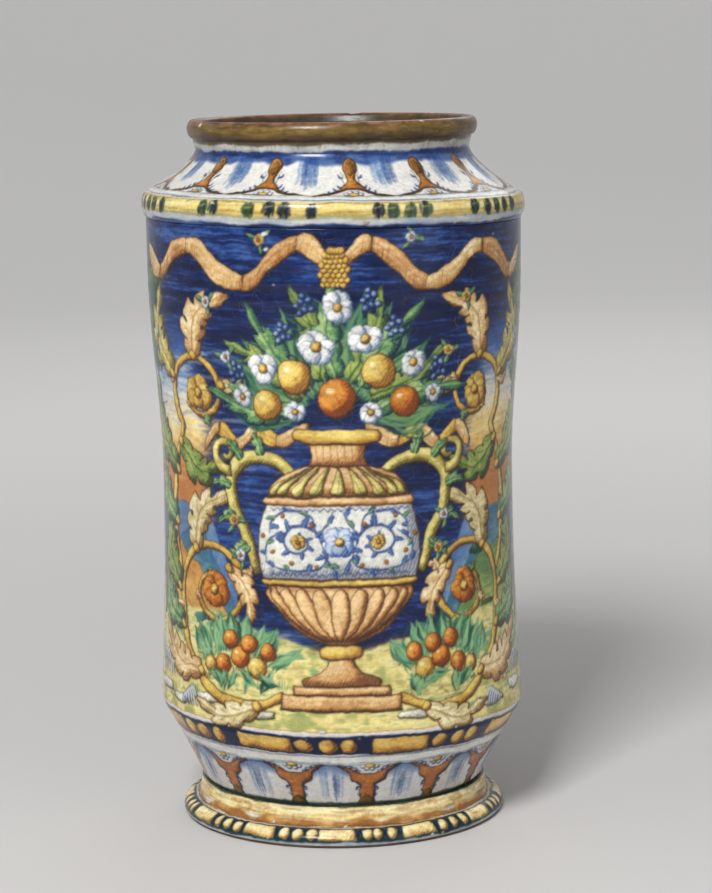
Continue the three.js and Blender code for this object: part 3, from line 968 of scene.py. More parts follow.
def foliage(x, y, width, height, dabs, tones, dab=1.7):
    # A clump of leaves: a dark mass first, then dabs that turn lighter towards the upper left
    blob = roughRing(x, y, width * 0.46, height * 0.42, 0.05 * height)
    paintForm(blob, (tones[1], tones[2], tones[0]), width=0, roundness=max(1, height * 0.16), strength=0.85)
    for k in range(dabs):
        t = k / dabs
        a = between(0, 2 * pi)
        r = sqrt(between(0, 1)) * (1.06 - 0.3 * t)
        px = x + cos(a) * r * width / 2 - width * 0.09 * t
        py = y + sin(a) * r * height / 2 + height * 0.11 * t
        lift = np.clip(0.5 - cos(a) * r * 0.25 + sin(a) * r * 0.4 + about(0, 0.16), 0, 0.99)
        tone = tones[int((0.35 * t + 0.65 * lift) * len(tones))]
        size = dab * between(0.6, 1.25)
        turn = about(0.2, 0.6) * size * 0.5
        drawLine([(px - size * 0.45, py - turn), (px + size * 0.45, py + turn)],
            [size * 0.5, size * 0.34], tone, 0.8, 0.3)


darkLeaves = ["tealDark", "28543e", "28543e", "teal", "689654", "leaf", "leafLight"]
farLeaves = ["385c78", "4c7c78", "689682", "96b48c"]
goldLeaves = ["leafDark", "leafDark", "6e7c32", "a0a040", "yellow"]


def tree(x, foot, height, spread, clumps, tones, trunk, lean):
    top = foot + height
    line = smoothLine([(x, foot), (x + lean * 0.3, foot + height * 0.3),
        (x + lean * 0.6 + about(0, 1), foot + height * 0.6), (x + lean, top - height * 0.12)], steps=6)
    line = line + np.stack([about(0, 0.25, len(line)), 0 * line[:, 0]], 1)
    widths = np.linspace(height * 0.019, height * 0.008, len(line)) + 0.6
    drawLine(line, widths + 0.7, "olive", 0.85, 0.2)
    drawLine(line, widths, trunk, 0.85, 0.3)
    drawLine(line - (widths[:, None] * 0.2) * (1, 0), widths * 0.4, "tanLight", 0.65, 0.5)
    for k in range(4):
        bx, by = line[int(len(line) * (0.45 + 0.12 * k))]
        side = 1 if k % 2 else -1
        drawLine(smoothLine([(bx, by), (bx + side * spread * 0.18, by + height * 0.08),
            (bx + side * spread * 0.34, by + height * 0.1)], steps=4),
            [0.9, 0.8, 0.7, 0.6, 0.5, 0.5, 0.4, 0.4, 0.3], "olive", 0.85, 0.2)
    for k in range(clumps):
        a = 2 * pi * k / clumps + about(0, 0.3)
        r = 0 if k == 0 else between(0.55, 0.95)
        cx = x + lean + cos(a) * r * spread * 0.42
        cy = top - height * 0.22 + sin(a) * r * height * 0.24
        foliage(cx, cy, spread * 0.5, spread * 0.36, int(60 + 2.2 * spread), tones, 1.5 + spread * 0.012)


def cypress(x, foot, height):
    for k in range(int(height * 3)):
        t = between(0, 1)
        half = height * 0.13 * sin(pi * (0.15 + 0.85 * t)) ** 0.8
        px = x + about(0, 0.45) * half
        py = foot + t * height
        tone = darkLeaves[int(np.clip(0.5 - (px - x) / half * 0.35 + about(0, 0.15), 0, 0.99)
            * len(darkLeaves))]
        drawLine([(px, py), (px + about(0, 0.3), py + 2.4)], [1.1, 0.5], tone, 0.75, 0.2)


def stone(x, y, wide, tall):
    # A pale boulder with an olive outline, grey-blue on its shadow side
    count = 9
    a = np.linspace(0, 2 * pi, count, endpoint=False) + about(0, 0.16, count)
    r = between(0.78, 1.12, count)
    pts = np.stack([x + np.cos(a) * wide / 2 * r, y + np.sin(a) * tall / 2 * r
        * (1 - 0.3 * (np.sin(a) < 0))], 1)
    paintForm(smoothLine(pts, True, 5), ("e2dec8", "f8f6ec", "96968c"), "olive", 0.42,
        max(0.8, tall * 0.16), 0.9, -50)
    for k in range(2):
        sx = x + between(-0.3, 0.2) * wide
        drawLine([(sx, y + tall * 0.1), (sx + wide * 0.18, y - tall * 0.12)], 0.3, "greyDark", 0.5)


def tuft(x, y, height, flip):
    # Bent pale blades with blue-grey backs, standing in a zigzag
    for k in range(5):
        bx = x + flip * k * height * 0.22
        top = height * (1 - 0.12 * k)
        blade = smoothLine([(bx, y), (bx + flip * top * 0.12, y + top * 0.6),
            (bx + flip * top * 0.42, y + top * 0.92), (bx + flip * top * 0.72, y + top * 0.6),
            (bx + flip * top * 0.82, y + top * 0.1)], steps=5)
        w = swelling(len(blade), 0.5, 1.9, 0.5)
        drawLine(blade, w + 0.5, "greyDark", 0.75, 0.2)
        drawLine(blade + (-flip * 0.2, 0.25), w * 0.75, "e8eae4", 0.9, 0.15)


def scribble(x, y, tone="rust", size=3):
    pts = [(x, y)]
    for k in range(5):
        pts.append((x + (k + 1) * size * 0.28, y + (size * 0.35 if k % 2 else -size * 0.3)
            * between(0.4, 1)))
    drawLine(smoothLine(pts, steps=4), 0.5, tone, 0.7, 0.3)


def fruit(x, y, radius, tones="orange", line="603416"):
    _, light, dark = tonesOf(tones)
    outline = ringLine(x, y, radius * between(0.95, 1.04), radius, 25)
    paintForm(outline, tones, line, 0.55, radius * 0.42, 1.5, 55)
    spot = ringLine(x - radius * 0.34, y + radius * 0.36, radius * 0.24, radius * 0.18, 9)
    paintForm(spot, ("fcf0ce", "fffcf0", light), width=0, roundness=0.5, strength=0.85)
    for k in range(4):
        a = radians(90 * k + 40)
        drawLine([(x + radius * 0.1, y - radius * 0.15), (x + radius * (0.1 + 0.22 * cos(a)),
            y + radius * (-0.15 + 0.22 * sin(a)))], 0.35, dark, 0.8)


def blossom(x, y, radius, petals=5, tones="daisy", centre="yellow", line="greyDark", start=0):
    # Petals of uneven length, the far ones first, round a hatched eye
    for k in sorted(range(petals), key=lambda q: -sin(radians(start + 360 * q / petals))):
        a = start + 360 * k / petals + about(0, 5)
        size = radius * between(0.86, 1.12)
        shape = np.array([(0.08, -0.16), (0.4, -0.5), (0.8, -0.46), (1, -0.12), (0.92, 0.06), (1, 0.2),
            (0.78, 0.48), (0.4, 0.5), (0.08, 0.16)]) * size
        paintForm(smoothLine(turnedTo(shape, x, y, a), True, 3), tones, line, 0.34, radius * 0.22, 0.8)
        for s in (-0.2, 0.02, 0.2):
            drawLine(turnedTo([(size * 0.28, s * size * 0.5), (size * between(0.5, 0.75), s * size)], x,
                y, a), 0.26, tonesOf(tones)[2], 0.6)
    q = ringLine(x, y, radius * 0.3, count=13)
    paintForm(q, (centre, "yellowLight", "orangeDark"), "olive", 0.36, radius * 0.12, 1.2)
    for k in range(5):
        a = 72 * k + start
        drawLine(turnedTo([(radius * 0.2, 0), (radius * 0.34, 0)], x, y, a), 0.36, "orangeDark", 0.7)


def banderole(points, half, front, back, outlineTone="rustDark"):
    # A fluttering ribbon: it turns over at each crest of its wave, so face and back follow one another
    line = smoothLine(points, steps=12)
    rise = np.sign(np.gradient(line[:, 1]))
    turns = [0] + [i for i in range(5, len(line) - 5) if rise[i] != rise[i - 1]] + [len(line) - 1]
    parts = [(n % 2, i, j) for n, (i, j) in enumerate(zip(turns[:-1], turns[1:])) if j - i > 3]
    for n, i, j in sorted(parts, reverse=True):
        # Each fold is a strip cut straight up and down at its ends, as cloth seen edge on
        rows = slice(max(i - 1, 0), min(j + 2, len(line)))
        t = np.linspace(0, 1, len(line[rows]))
        tall = half * (0.62 + 0.5 * np.sin(pi * t))[:, None] * (0.16, 1)
        a, b = line[rows] + tall, line[rows] - tall
        tones = tonesOf(back if n else front)
        paintForm(np.vstack([a, b[::-1]]), tones, outlineTone, 0.5, half * 0.3, 0.5, 86)
        for share in (-0.5, 0.1, 0.55):
            fold = line[rows] + tall * share
            drawLine(fold[1:-1], swelling(len(fold) - 2, 0.2, 0.6),
                tones[2] if share < 0.4 else tones[1], 0.5, 0.6)
        for k in range(int((j - i) * 1.5)):
            # Hatch strokes gather in the shade at either end of the fold
            u = dice.random() ** 2 * 0.4
            u = u if k % 2 else 1 - u
            m = int(u * (len(t) - 1))
            reach = between(0.3, 1)
            drawLine([b[m], b[m] + (a[m] - b[m]) * reach], [0.5, 0.2], tones[2], 0.6, 0.4)


def bandForm(line, widths, tones, lineTone="rustDark", width=0.5, roundness=None, depth=1.2, hatch=None):
    # A stem or scroll: a strip of changing width, modelled as a round form
    line = np.asarray(line, float)
    widths = np.broadcast_to(np.asarray(widths, float), (len(line),))
    side = directions(line)[1] * widths[:, None] / 2
    outline = np.vstack([line + side, (line - side)[::-1]])
    paintForm(outline, tones, lineTone, width, roundness or float(widths.max()) * 0.3, depth, hatch)


def spiralLine(cx, cy, radius, startDegrees, turns, flip=1, squash=1, inner=0.12):
    t = np.linspace(0, 1, int(26 * turns) + 6)
    a = np.radians(startDegrees) + flip * t * turns * 2 * pi
    r = radius * (1 - (1 - inner) * t ** 0.85)
    return np.stack([cx + r * np.cos(a), cy + r * np.sin(a) * squash], 1)


def lobedLeaf(line, half, lobes, tones, outlineTone="rustDark", flip=1, depth=0.9, width=0.5):
    # An acanthus leaf along a curved rib: rounded lobes pointing forward, a shaded fold and fine veins
    tones = tonesOf(tones)
    rib = smoothLine(line, steps=10)
    step, side = directions(rib)
    sides = []
    for s in (1, -1):
        edge = [rib[0] + side[0] * s * half * 0.25]
        for k in range(lobes):
            full = half * (sin(pi * ((k + 0.75) / (lobes + 0.6)) ** 0.75)) * between(0.88,
                1.08) * (1 if s == flip else 0.82)
            for share, reach in ((0.1, 0.62), (0.45, 0.98), (0.85, 1.04), (1.02, 0.72)):
                i = int(min((k + share) / (lobes + 0.5), 0.98) * (len(rib) - 1))
                forward = step[i] * full * (0.28 if share > 0.6 else 0.05)
                edge.append(rib[i] + side[i] * s * full * reach + forward)
        sides.append(edge)
    outline = smoothLine(np.vstack([sides[0], [rib[-1]], sides[1][::-1]]), True, 3)
    lean = math.degrees(math.atan2(*(rib[-1] - rib[0])[::-1])) + 50
    paintForm(outline, tones, outlineTone, width, half * 0.3, depth, lean)
    for k in range(lobes):
        i, j = int(k / (lobes + 0.5) * (len(rib) - 1)), int(min((k + 0.9) / (lobes + 0.5), 1)
            * (len(rib) - 1))
        for s in (1, -1):
            end = rib[j] + side[j] * s * half * 0.62 * (1 - 0.35 * k / lobes)
            vein = smoothLine([rib[i], (rib[i] + end) / 2 + step[i] * half * 0.12, end], steps=4)
            drawLine(vein, swelling(len(vein), 0.22, 0.5), tones[2], 0.6, 0.45)
    fold = rib + side * flip * half * 0.1
    drawLine(fold, np.linspace(0.9, 0.35, len(fold)), tones[2], 0.75, 0.35)
    drawLine(rib - side * flip * half * 0.1, np.linspace(0.9, 0.3, len(rib)), tones[1], 0.7, 0.4)


def featherSpray(x, y, degrees, length, spread, strokes, tones):
    # Loose leaf strokes fanning out, dark below and pale on top
    for k in range(strokes):
        a = radians(degrees + about(0, spread))
        reach = length * between(0.45, 1.05)
        bow = about(0, 0.14) * reach
        end = (x + cos(a) * reach, y + sin(a) * reach)
        middle = (x + cos(a) * reach * 0.55 - sin(a) * bow, y + sin(a) * reach * 0.55 + cos(a) * bow)
        line = smoothLine([(x + about(0, 1), y + about(0, 1)), middle, end], steps=5)
        tone = tones[int(k / strokes * len(tones))]
        drawLine(line, swelling(len(line), 0.3, between(0.9, 1.7), 0.6), tone, between(0.6, 0.9))


# Far hills on either side: crest at the left, in the middle and at the right, foot, roughness, contours,
# and the colours of the top, the bottom, the outline and the strokes
blueHills = [(146, 140, 147, 96, 4, 7, ("788eba", "b0c4c8", "465c96", "5c74a8")),
    (132, 136, 130, 92, 5, 8, ("5e82a0", "a0beaa", "345480", "42688c"))]
# Near hills: from, to, crest, and 1 for green or 0 for ochre
nearHills = [(46, 118, 126, 1), (108, 190, 121, 0), (176, 252, 127, 1), (-118, -46, 124, 0),
    (-194, -106, 128, 1), (-252, -180, 120, 0)]
hillTones = [("d89e4e", "e8cc7a", "7a4e24", "b07434"), ("7a9e60", "cecc78", "305442", "4a7a54")]


def farCountry():
    # Sides and back: blue distance, then hills in ochre and green
    for a, b in ((-247, -44), (44, 247)):
        for left, middle, right, foot, rough, contours, tones in blueHills:
            hill([(a, left), ((a + b) / 2, middle), (b, right)], foot, rough, contours, tones)
    for a, b, top, green in nearHills:
        ends = (12, 14) if green else (14, 10)
        hill([(a, top - ends[0]), ((a + b) / 2, top), (b, top - ends[1])], 84, 3, 7, hillTones[green])


def meadow():
    # Yellow and green ground all round, up to a wandering edge
    spot = fullBand(lev(52.8), 112)
    x, y = spot["x"], spot["y"][:, None]
    at = spot["at"]
    top = 97 + wave(3.5, 26)(x) + 3 * smooth(60, 120, np.abs(x)) - 5.5 * (1 - smooth(24, 60, np.abs(x)))
    mask = np.clip((top - y) / 1.5, 0, 1)
    share = np.clip(0.5 + (mottle[at] - 0.5) * 1.7 + (streaks[at] - 0.5) * 0.8 + (y - 74) * 0.012, 0, 1)
    patch = blendStops(share, [(0, "bac07a"), (0.3, "e6d88e"), (0.62, "eee2a0"), (0.82, "ced092"),
        (1, "90b080")])
    lay(spot, mask, patch, 0.97)
    scatter(360, 55, 95, (4, 20), (0.5, 1.8), ("96a854", "689668", "d6b054", "f6e8a4", "786e3c",
        "e29c4a"), tilt=0.9)
    for k in range(46):
        px, py = between(-242, 242), between(58, 92)
        if abs(px) < 22:
            continue
        for s in range(5):
            q = px + s * 1.1 - 2
            drawLine([(q, py), (q + about(0.4, 0.5), py + between(2, 4.4))], [0.55, 0.2],
                ("leafDark", "teal", "olive")[k % 3], 0.75)


def groundThings():
    for px, py, w, t in ((-98, 60, 22, 6), (-80, 57.5, 16, 5), (-60, 61, 18, 5.5), (-34, 57.5, 15, 4.6),
            (31, 58, 17, 5), (52, 62, 14, 5), (74, 58, 20, 6), (96, 61, 18, 6.5), (120, 57.5, 18, 5),
            (-124, 58, 16, 5.5)):
        stone(px, py, w, t)
    for k in range(26):
        px = (130 + k * 8.9) if k < 13 else -(130 + (k - 13) * 8.9)
        stone(px + about(0, 2), between(56.5, 64), between(9, 20), between(3.6, 7))
    for side in (-1, 1):
        tuft(side * 88, 66, 12, side)
        tuft(side * 112, 70, 10, -side)
        tuft(side * 69, 56, 8, side)
    for px in (152, 176, 205, 228, -150, -182, -214, -236):
        tuft(px, between(60, 68), between(7, 11), 1 if px > 0 else -1)
    for k in range(40):
        px = between(-242, 242)
        if abs(px) > 20:
            scribble(px, between(56, 90), ("rust", "orangeDark", "olive")[k % 3], between(2, 4.5))


def sideTrees():
    tree(-104, 92, 152, 44, 12, darkLeaves, "rustDark", -6)
    tree(106, 88, 158, 40, 12, darkLeaves, "rustDark", 8)
    tree(-148, 96, 70, 30, 7, farLeaves, "olive", 3)
    tree(150, 92, 60, 26, 7, goldLeaves, "rustDark", -3)
    tree(228, 90, 132, 46, 12, darkLeaves, "rustDark", 5)
    tree(-206, 92, 84, 34, 8, goldLeaves, "rustDark", 4)
    for px, foot, tall in ((126, 100, 30), (133, 98, 22), (-128, 102, 28), (-172, 104, 34),
            (-180, 102, 24), (188, 100, 30), (196, 99, 38)):
        cypress(px, foot, tall)
    for k in range(60):
        px = between(48, 242) * (1 if k % 2 else -1)
        foliage(px, between(94, 122), between(5, 11), between(3, 6), 16,
            (darkLeaves, goldLeaves, farLeaves)[k % 3], 1.5)


def farTower(x, foot, height, width):
    wall = [(x - width / 2, foot), (x - width * 0.44, foot + height), (x + width * 0.44, foot + height),
        (x + width / 2, foot)]
    paintForm(wall, ("decea8", "f6eed6", "a48460"), "olive", 0.45, width * 0.2)
    roof = [(x - width * 0.6, foot + height), (x, foot + height * 1.4), (x + width * 0.6, foot + height)]
    paintForm(roof, ("orange", "orangeLight", "rustDark"), "rustDark", 0.45, width * 0.15)
    for k in range(3):
        y = foot + height * (0.25 + 0.24 * k)
        drawLine([(x - width * 0.1, y), (x - width * 0.1, y + height * 0.1)], width * 0.16, "ink", 0.85)
    for k in range(5):
        y = foot + height * (0.12 + 0.18 * k)
        drawLine([(x + width * 0.1, y), (x + width * 0.42, y)], 0.3, "tanDark", 0.6)


def backScene():
    farTower(-222, 118, 20, 9)
    farTower(-213, 116, 12, 12)
    farTower(-231, 114, 13, 10)
    farTower(172, 112, 16, 8)
    farTower(180, 111, 10, 11)


def urnPart(half, tones, line="rustDark", width=0.6, roundness=3, depth=1.2, hatch=None):
    side = smoothLine(half, steps=6)
    paintForm(np.vstack([side, side[::-1] * (-1, 1)]), tones, line, width, roundness, depth, hatch)


def urn():
    hatch = 60
    # Plinth of two steps
    for low, high, half in ((60.5, 67, 25), (67, 71, 20)):
        block = [(-half, low), (-half, high), (half, high), (half, low)]
        paintForm(block, "tan", "rustDark", 0.6, 1.4, 0.9, hatch)
        drawLine([(-half + 1, high - 1.4), (half - 1, high - 1.4)], 0.5, "tanLight", 0.8)
    drawLine([(-25, 60.3), (25, 60.3)], 0.9, "olive", 0.7)
    # Foot and knob
    urnPart([(15.5, 71), (16.5, 73), (14.5, 74.6), (9, 76.5), (5.6, 80), (5, 83)], "tan", hatch=hatch)
    urnPart([(4.5, 82), (8.2, 83), (9, 85), (8.2, 87), (4.5, 88)], "yellow", roundness=1.6)
    # Bowl, then its gadroons one by one
    urnPart([(5, 88), (11, 90.5), (20, 95.5), (27.5, 103.5), (31.5, 112)], "tan", roundness=4, hatch=hatch)
    count = 11
    for k in sorted(range(count), key=lambda q: -abs(q - (count - 1) / 2)):
        t = (k - (count - 1) / 2) / (count / 2)
        a, b = 30.5 * sin(t * 1.5), 6.5 * sin(t * 1.5)
        w = 3.4 * cos(t * 1.35) + 0.8
        petal = smoothLine([(b, 89.5), ((a + b) / 2 * 1.12 + w * 0.9, 98.5), (a + w * 0.8, 108),
            (a, 111.4), (a - w * 0.8, 108), ((a + b) / 2 * 1.12 - w * 0.9, 98.5)], True, 6)
        paintForm(petal, ("deb070", "f6deb0", "a66a36"), "rustDark", roundness=1.3, depth=1.3)
    urnPart([(32.4, 112.4), (33.5, 113.8), (32.4, 115.2)], "yellow", width=0.5, roundness=0.9)
    # Pale belly with blue scrolls
    urnPart([(32.5, 115), (34.6, 122), (35.2, 130), (34, 138), (31, 146)],
        ("deded4", "f0eee4", "96a2b6"), roundness=5, hatch=62)
    bellyPattern()
    urnPart([(31.2, 145.5), (32.8, 147.3), (31.2, 149.1)], "tan", width=0.5, roundness=0.9)
    # Shoulder with leaves, neck and lip
    urnPart([(30.5, 149), (28, 154.5), (21, 159.5), (13.5, 162)], "tan", roundness=3, hatch=hatch)
    for k in range(9):
        t = (k - 4) / 4.6
        a, b = 28.5 * sin(t * 1.5), 12.5 * sin(t * 1.5)
        y0 = 150.2
        leaf = smoothLine([(a - 2.6 * cos(t), y0), (a * 0.9 - 2.2 * cos(t), y0 + 4.5), (b, 161.5),
            (a * 0.9 + 2.2 * cos(t), y0 + 4.5), (a + 2.6 * cos(t), y0)], True, 5)
        paintForm(leaf, ("d6c86e", "f4ecaa", "767838"), "rustDark", 0.45, 1, 1.2)
        drawLine([(a, y0 + 0.6), ((a + b) / 2, y0 + 6)], 0.35, "rustDark", 0.6)
    urnPart([(12.5, 162), (10.8, 166), (11.6, 171)], "tan", roundness=2.6, hatch=hatch)
    for k in range(7):
        a = -9 + 3 * k
        drawLine([(a, 163), (a * 0.95, 170.4)], 0.35, "tanDark", 0.7)
    urnPart([(12, 171), (17, 172.4), (18.4, 174.8), (17, 177)], "yellow", roundness=1.5)


def bellyPattern():
    # Foliate scrolls in blue either side of a rosette, with small green leaves and ochre berries
    for flip in (-1, 1):
        scroll = spiralLine(flip * 17, 130.5, 9.5, 180 if flip > 0 else 0, 1.45, -flip, 0.9, 0.2)
        drawLine(scroll, np.linspace(1.3, 0.6, len(scroll)), "cobalt", 0.9, 0.35)
        tails = [[(7.5, 131), (6, 122), (13, 118.6), (24, 119), (31, 122)],
            [(25, 135), (31, 130), (31.5, 122)], [(9, 134), (12, 141.5), (22, 143), (29, 139),
            (30, 134)], [(8, 126), (3.5, 121), (2, 117.5)], [(7.8, 134), (4, 139), (2.4, 143)]]
        for tail in tails:
            curve = smoothLine(mirrored(tail, flip))
            drawLine(curve, swelling(len(curve), 0.35, 1), "cobalt", 0.85, 0.35)
            for k in range(len(tail)):
                i = int((k + 0.5) / len(tail) * (len(curve) - 1))
                root, way = curve[i], between(0, 2 * pi)
                tip = root + np.array((cos(way), sin(way))) * between(2.6, 4.2)
                lobedLeaf([root, (root + tip) / 2 + (0.3, 0.3), tip], 1.05, 2,
                    ("blueLeaf", "greenLeaf")[k % 2], "cobalt", width=0.28)
        for k in range(9):
            i = int(len(scroll) * (0.04 + 0.1 * k))
            away = scroll[i] - np.array((flip * 17, 130.5))
            tip = scroll[i] + away / np.hypot(*away) * (4.6 - 0.32 * k) + (away[1] * 0.16, -away[0] * 0.16)
            lobedLeaf([scroll[i], (scroll[i] + tip) / 2, tip], 1.5 - 0.1 * k, 2, "blueLeaf", "cobalt",
                width=0.32)
        blossom(flip * 17, 130.5, 3.2, 6, "yellow", "rust", "olive", 20)
        for px, py in ((11, 137.8), (24, 141), (28.5, 126), (9.5, 120.5), (20, 121.6), (33, 133)):
            paintForm(ringLine(flip * px, py, 0.95, count=9), ("orange", "orangeLight", "rust"), "olive",
                0.3, 0.5)
    blossom(0, 130.5, 6.4, 8, ("d0d8e8", "white", "cobaltLight"), "yellow", "cobalt", 0)
    for k in range(20):
        x = -28 + 56 * k / 19
        for y, bulge in ((144.4, -1.1), (116.4, 1.1)):
            drawLine([(x - 1.4, y), (x, y + bulge), (x + 1.4, y)], [0.3, 0.6, 0.3], "cobalt", 0.8)


def handles():
    for flip in (-1, 1):
        upper = smoothLine(mirrored([(17, 157), (27, 164), (40, 164.5), (48, 156), (47, 144), (41, 133),
            (38, 124), (35, 117)], flip))
        widths = np.interp(np.linspace(0, 1, len(upper)), [0, 0.3, 0.7, 1], [4, 6.2, 5.2, 3.4])
        bandForm(upper, widths, "mossGold", width=0.55, depth=1.4, hatch=50)
        curl = spiralLine(flip * 50.5, 166, 7.5, 250 if flip > 0 else 290, 1.2, flip, 1, 0.2)
        bandForm(curl, np.linspace(4.4, 1.6, len(curl)), "mossGold", depth=1.3)
        for x, y, a in (33, 166, 70), (42, 164, 40), (48.5, 152, 5), (46, 140, -20), (40.5, 128, -35):
            way = radians(a)
            tip = (x + 10 * cos(way), y + 10 * sin(way))
            lobedLeaf(mirrored([(x, y), ((x + tip[0]) / 2, (y + tip[1]) / 2 + 1.2), tip], flip), 2.9, 3,
                "greenLeaf", "olive", flip, 0.9, 0.38)


def sideScrolls():
    # Two volutes on each side, joined by a stem; lobed leaves spring from it and hide the joints
    outer = [((36, 61), (52, 55), (70, 60), 5.5, 4, -1), ((66, 72), (84, 74), (101, 90), 7.5, 5, 1),
        ((80, 90), (96, 98), (100, 120), 7.5, 5, 1), ((84, 106), (96, 122), (86, 143), 8, 5, 1),
        ((70, 124), (66, 140), (47, 149), 7.5, 5, -1), ((50, 118), (41, 108), (39, 94), 4.8, 4, -1),
        ((86, 134), (101, 144), (106, 166), 7.5, 5, 1), ((84, 156), (102, 170), (102, 196), 8, 5, 1),
        ((82, 196), (95, 212), (88, 234), 8, 5, 1), ((66, 205), (62, 222), (44, 231), 7.5, 5, -1),
        ((51, 194), (41, 192), (33, 178), 5, 4, 1), ((80, 168), (66, 158), (50, 163), 6.5, 4, 1)]
    for flip in (-1, 1):
        for lead, middle, radius, start, turns, wide, petals, tone in (
                ([(24, 66), (38, 61), (56, 63), (72, 76), (81, 94)], (58, 108), 24, -24, 1.55, 4.4, 8, 0),
                ([(82, 112), (88, 134), (86, 156), (78, 172)], (64, 190), 20, -50, 1.5, 4, 7, 1)):
            coil = spiralLine(flip * middle[0], middle[1], radius, start if flip > 0 else 180 - start,
                turns, flip, 1, 0.16)
            line = np.vstack([smoothLine(mirrored(lead, flip), steps=10)[:-3], coil])
            widths = np.interp(np.linspace(0, 1, len(line)), [0, 0.2, 0.6, 1],
                [wide * 0.8, wide, wide * 0.75, wide * 0.35])
            widths = widths * (1 + 0.12 * np.sin(np.arange(len(line)) * 0.9))
            bandForm(line, widths, "yellow", depth=1, hatch=48)
            for k in range(6):
                # Small curling leaves inside the volute
                i = int(len(line) * (0.46 + 0.085 * k))
                away = line[i] - np.array((flip * middle[0], middle[1]))
                out = line[i] + away * (0.5 - 0.04 * k) + about(0, 0.6, 2)
                lobedLeaf([line[i], (line[i] + out) / 2 + (away[1] * 0.12, -away[0] * 0.12), out],
                    3 - 0.2 * k, 3, ("flesh", "greenLeaf")[k % 2], width=0.36)
            blossom(flip * middle[0], middle[1], 7.6, petals, ("orange", "yellow")[tone],
                line="rustDark", start=10)
        for n, (root, middle, tip, half, lobes, bend) in enumerate(outer):
            tones = ("mossGold", "flesh", "greenLeaf",
                "limeLeaf")[n % 4] if root[0] > 76 else ("paleLeaf", "flesh")[n % 2]
            lobedLeaf(mirrored([root, middle, tip], flip), half * 1.15, lobes, tones, flip=bend * flip)
            # A sheath holds each leaf to the stem
            cuff = smoothLine(mirrored([(root[0] - 2.4, root[1] - 0.8), (root[0], root[1] - 2.2),
                (root[0] + 2.4, root[1] + 0.6), (root[0], root[1] + 2.2)], flip), True, 4)
            paintForm(cuff, "yellow", "rustDark", 0.42, 0.9)


def bouquet():
    # Feathery greenery fans out first, then leaves, fruit and flowers
    for k in range(15):
        a = -84 + 12 * k
        x, y = 16 * sin(radians(a)), 180 + 14 * cos(radians(a))
        featherSpray(x, y, 90 - a, 40 - abs(a) * 0.08, 0.16, 46,
            ("tealDark", "2c5c54", "teal", "6e9e74", "tealLight"))
    for k, a in enumerate((-80, -58, -38, -19, 0, 19, 38, 58, 80)):
        u = np.array((sin(radians(a)), cos(radians(a))))
        v = np.array((u[1], -u[0])) * (4 if k % 2 else -4)
        root = np.array((0, 182)) + u * 16
        tones = ("greenLeaf", "limeLeaf")[k % 2]
        lobedLeaf([root, root + u * 20 + v, root + u * (44 - 3 * (k % 2))], 6.2, 5, tones, "ink",
            1 if k % 2 else -1, 0.8, 0.42)
    for x, y, r in ((-17, 199, 7.2), (17, 201, 7), (0, 190, 7.8), (-29, 187, 6.2), (28, 188, 6.4)):
        fruit(x, y, r, ("orange", "yellow")[int(abs(x)) % 2])
    for x, y, r, n in ((-8, 211, 7.2, 7), (12, 214, 6.6, 6), (-30, 202, 6.2, 6), (32, 204, 5.8, 7),
            (1, 227, 6.2, 6), (-17, 184.5, 4.6, 6), (14, 184, 4.6, 6), (-40, 190, 4.4, 5),
            (41, 191, 4.4, 5)):
        blossom(x, y, r, n, start=x * 7)
    for x, y in ((-21, 217), (24, 219), (-42, 200), (43, 201), (-12, 228), (14, 230)):
        for k in range(8):
            a, far = 2.4 * k, 1.5 * sqrt(k)
            q = ringLine(x + far * cos(a), y + far * sin(a), 1.45, count=10)
            paintForm(q, ("687ab2", "white", "ink"), width=0.32, roundness=0.6, depth=1.2)
    # A pine cone at the top, scale by scale
    for row in range(8):
        y, wide = 236 + row * 2, 5.6 * sin(pi * (0.3 + 0.62 * row / 8))
        for k in range(5):
            x = (k - 2 + (0.5 if row % 2 else 0) - 0.25) * wide * 0.42
            scale = smoothLine([(x, y - 1.5), (x + 1.3, y), (x, y + 1.7), (x - 1.3, y)], True, 3)
            paintForm(scale, "yellow", "rustDark", 0.32, 0.6)


def ribbons():
    for flip in (-1, 1):
        banderole(mirrored([(3, 246), (13, 253), (24, 247), (35, 237), (49, 240), (62, 250), (76, 247),
            (88, 238), (103, 246)], flip), 4.3, "flesh", "tan")
        banderole(mirrored([(12, 178), (24, 172), (35, 176), (44, 170), (54, 176), (62, 168)], flip),
            3.2, "flesh", "yellow")


def sprigs():
    # Small leafy sprays scattered in the blue
    for x, y, tone in ((-30, 254, 0), (31, 255, 1), (-56, 228, 1), (57, 229, 0), (-98, 208, 0),
            (99, 210, 1), (-47, 206, 1), (48, 208, 0), (-47, 138, 0), (47, 139, 1), (-44, 124, 1),
            (44, 126, 0)):
        turn = between(0, 360)
        for k in range(3):
            a = radians(turn + 120 * k)
            tip = (x + 6 * cos(a), y + 6 * sin(a))
            lobedLeaf([(x, y), ((x + tip[0]) / 2 + 0.6, (y + tip[1]) / 2), tip], 1.5, 2, "greenLeaf",
                "ink", width=0.3)
        blossom(x, y, 2.5, 5, ("yellow", "daisy")[tone], "orange", start=turn)


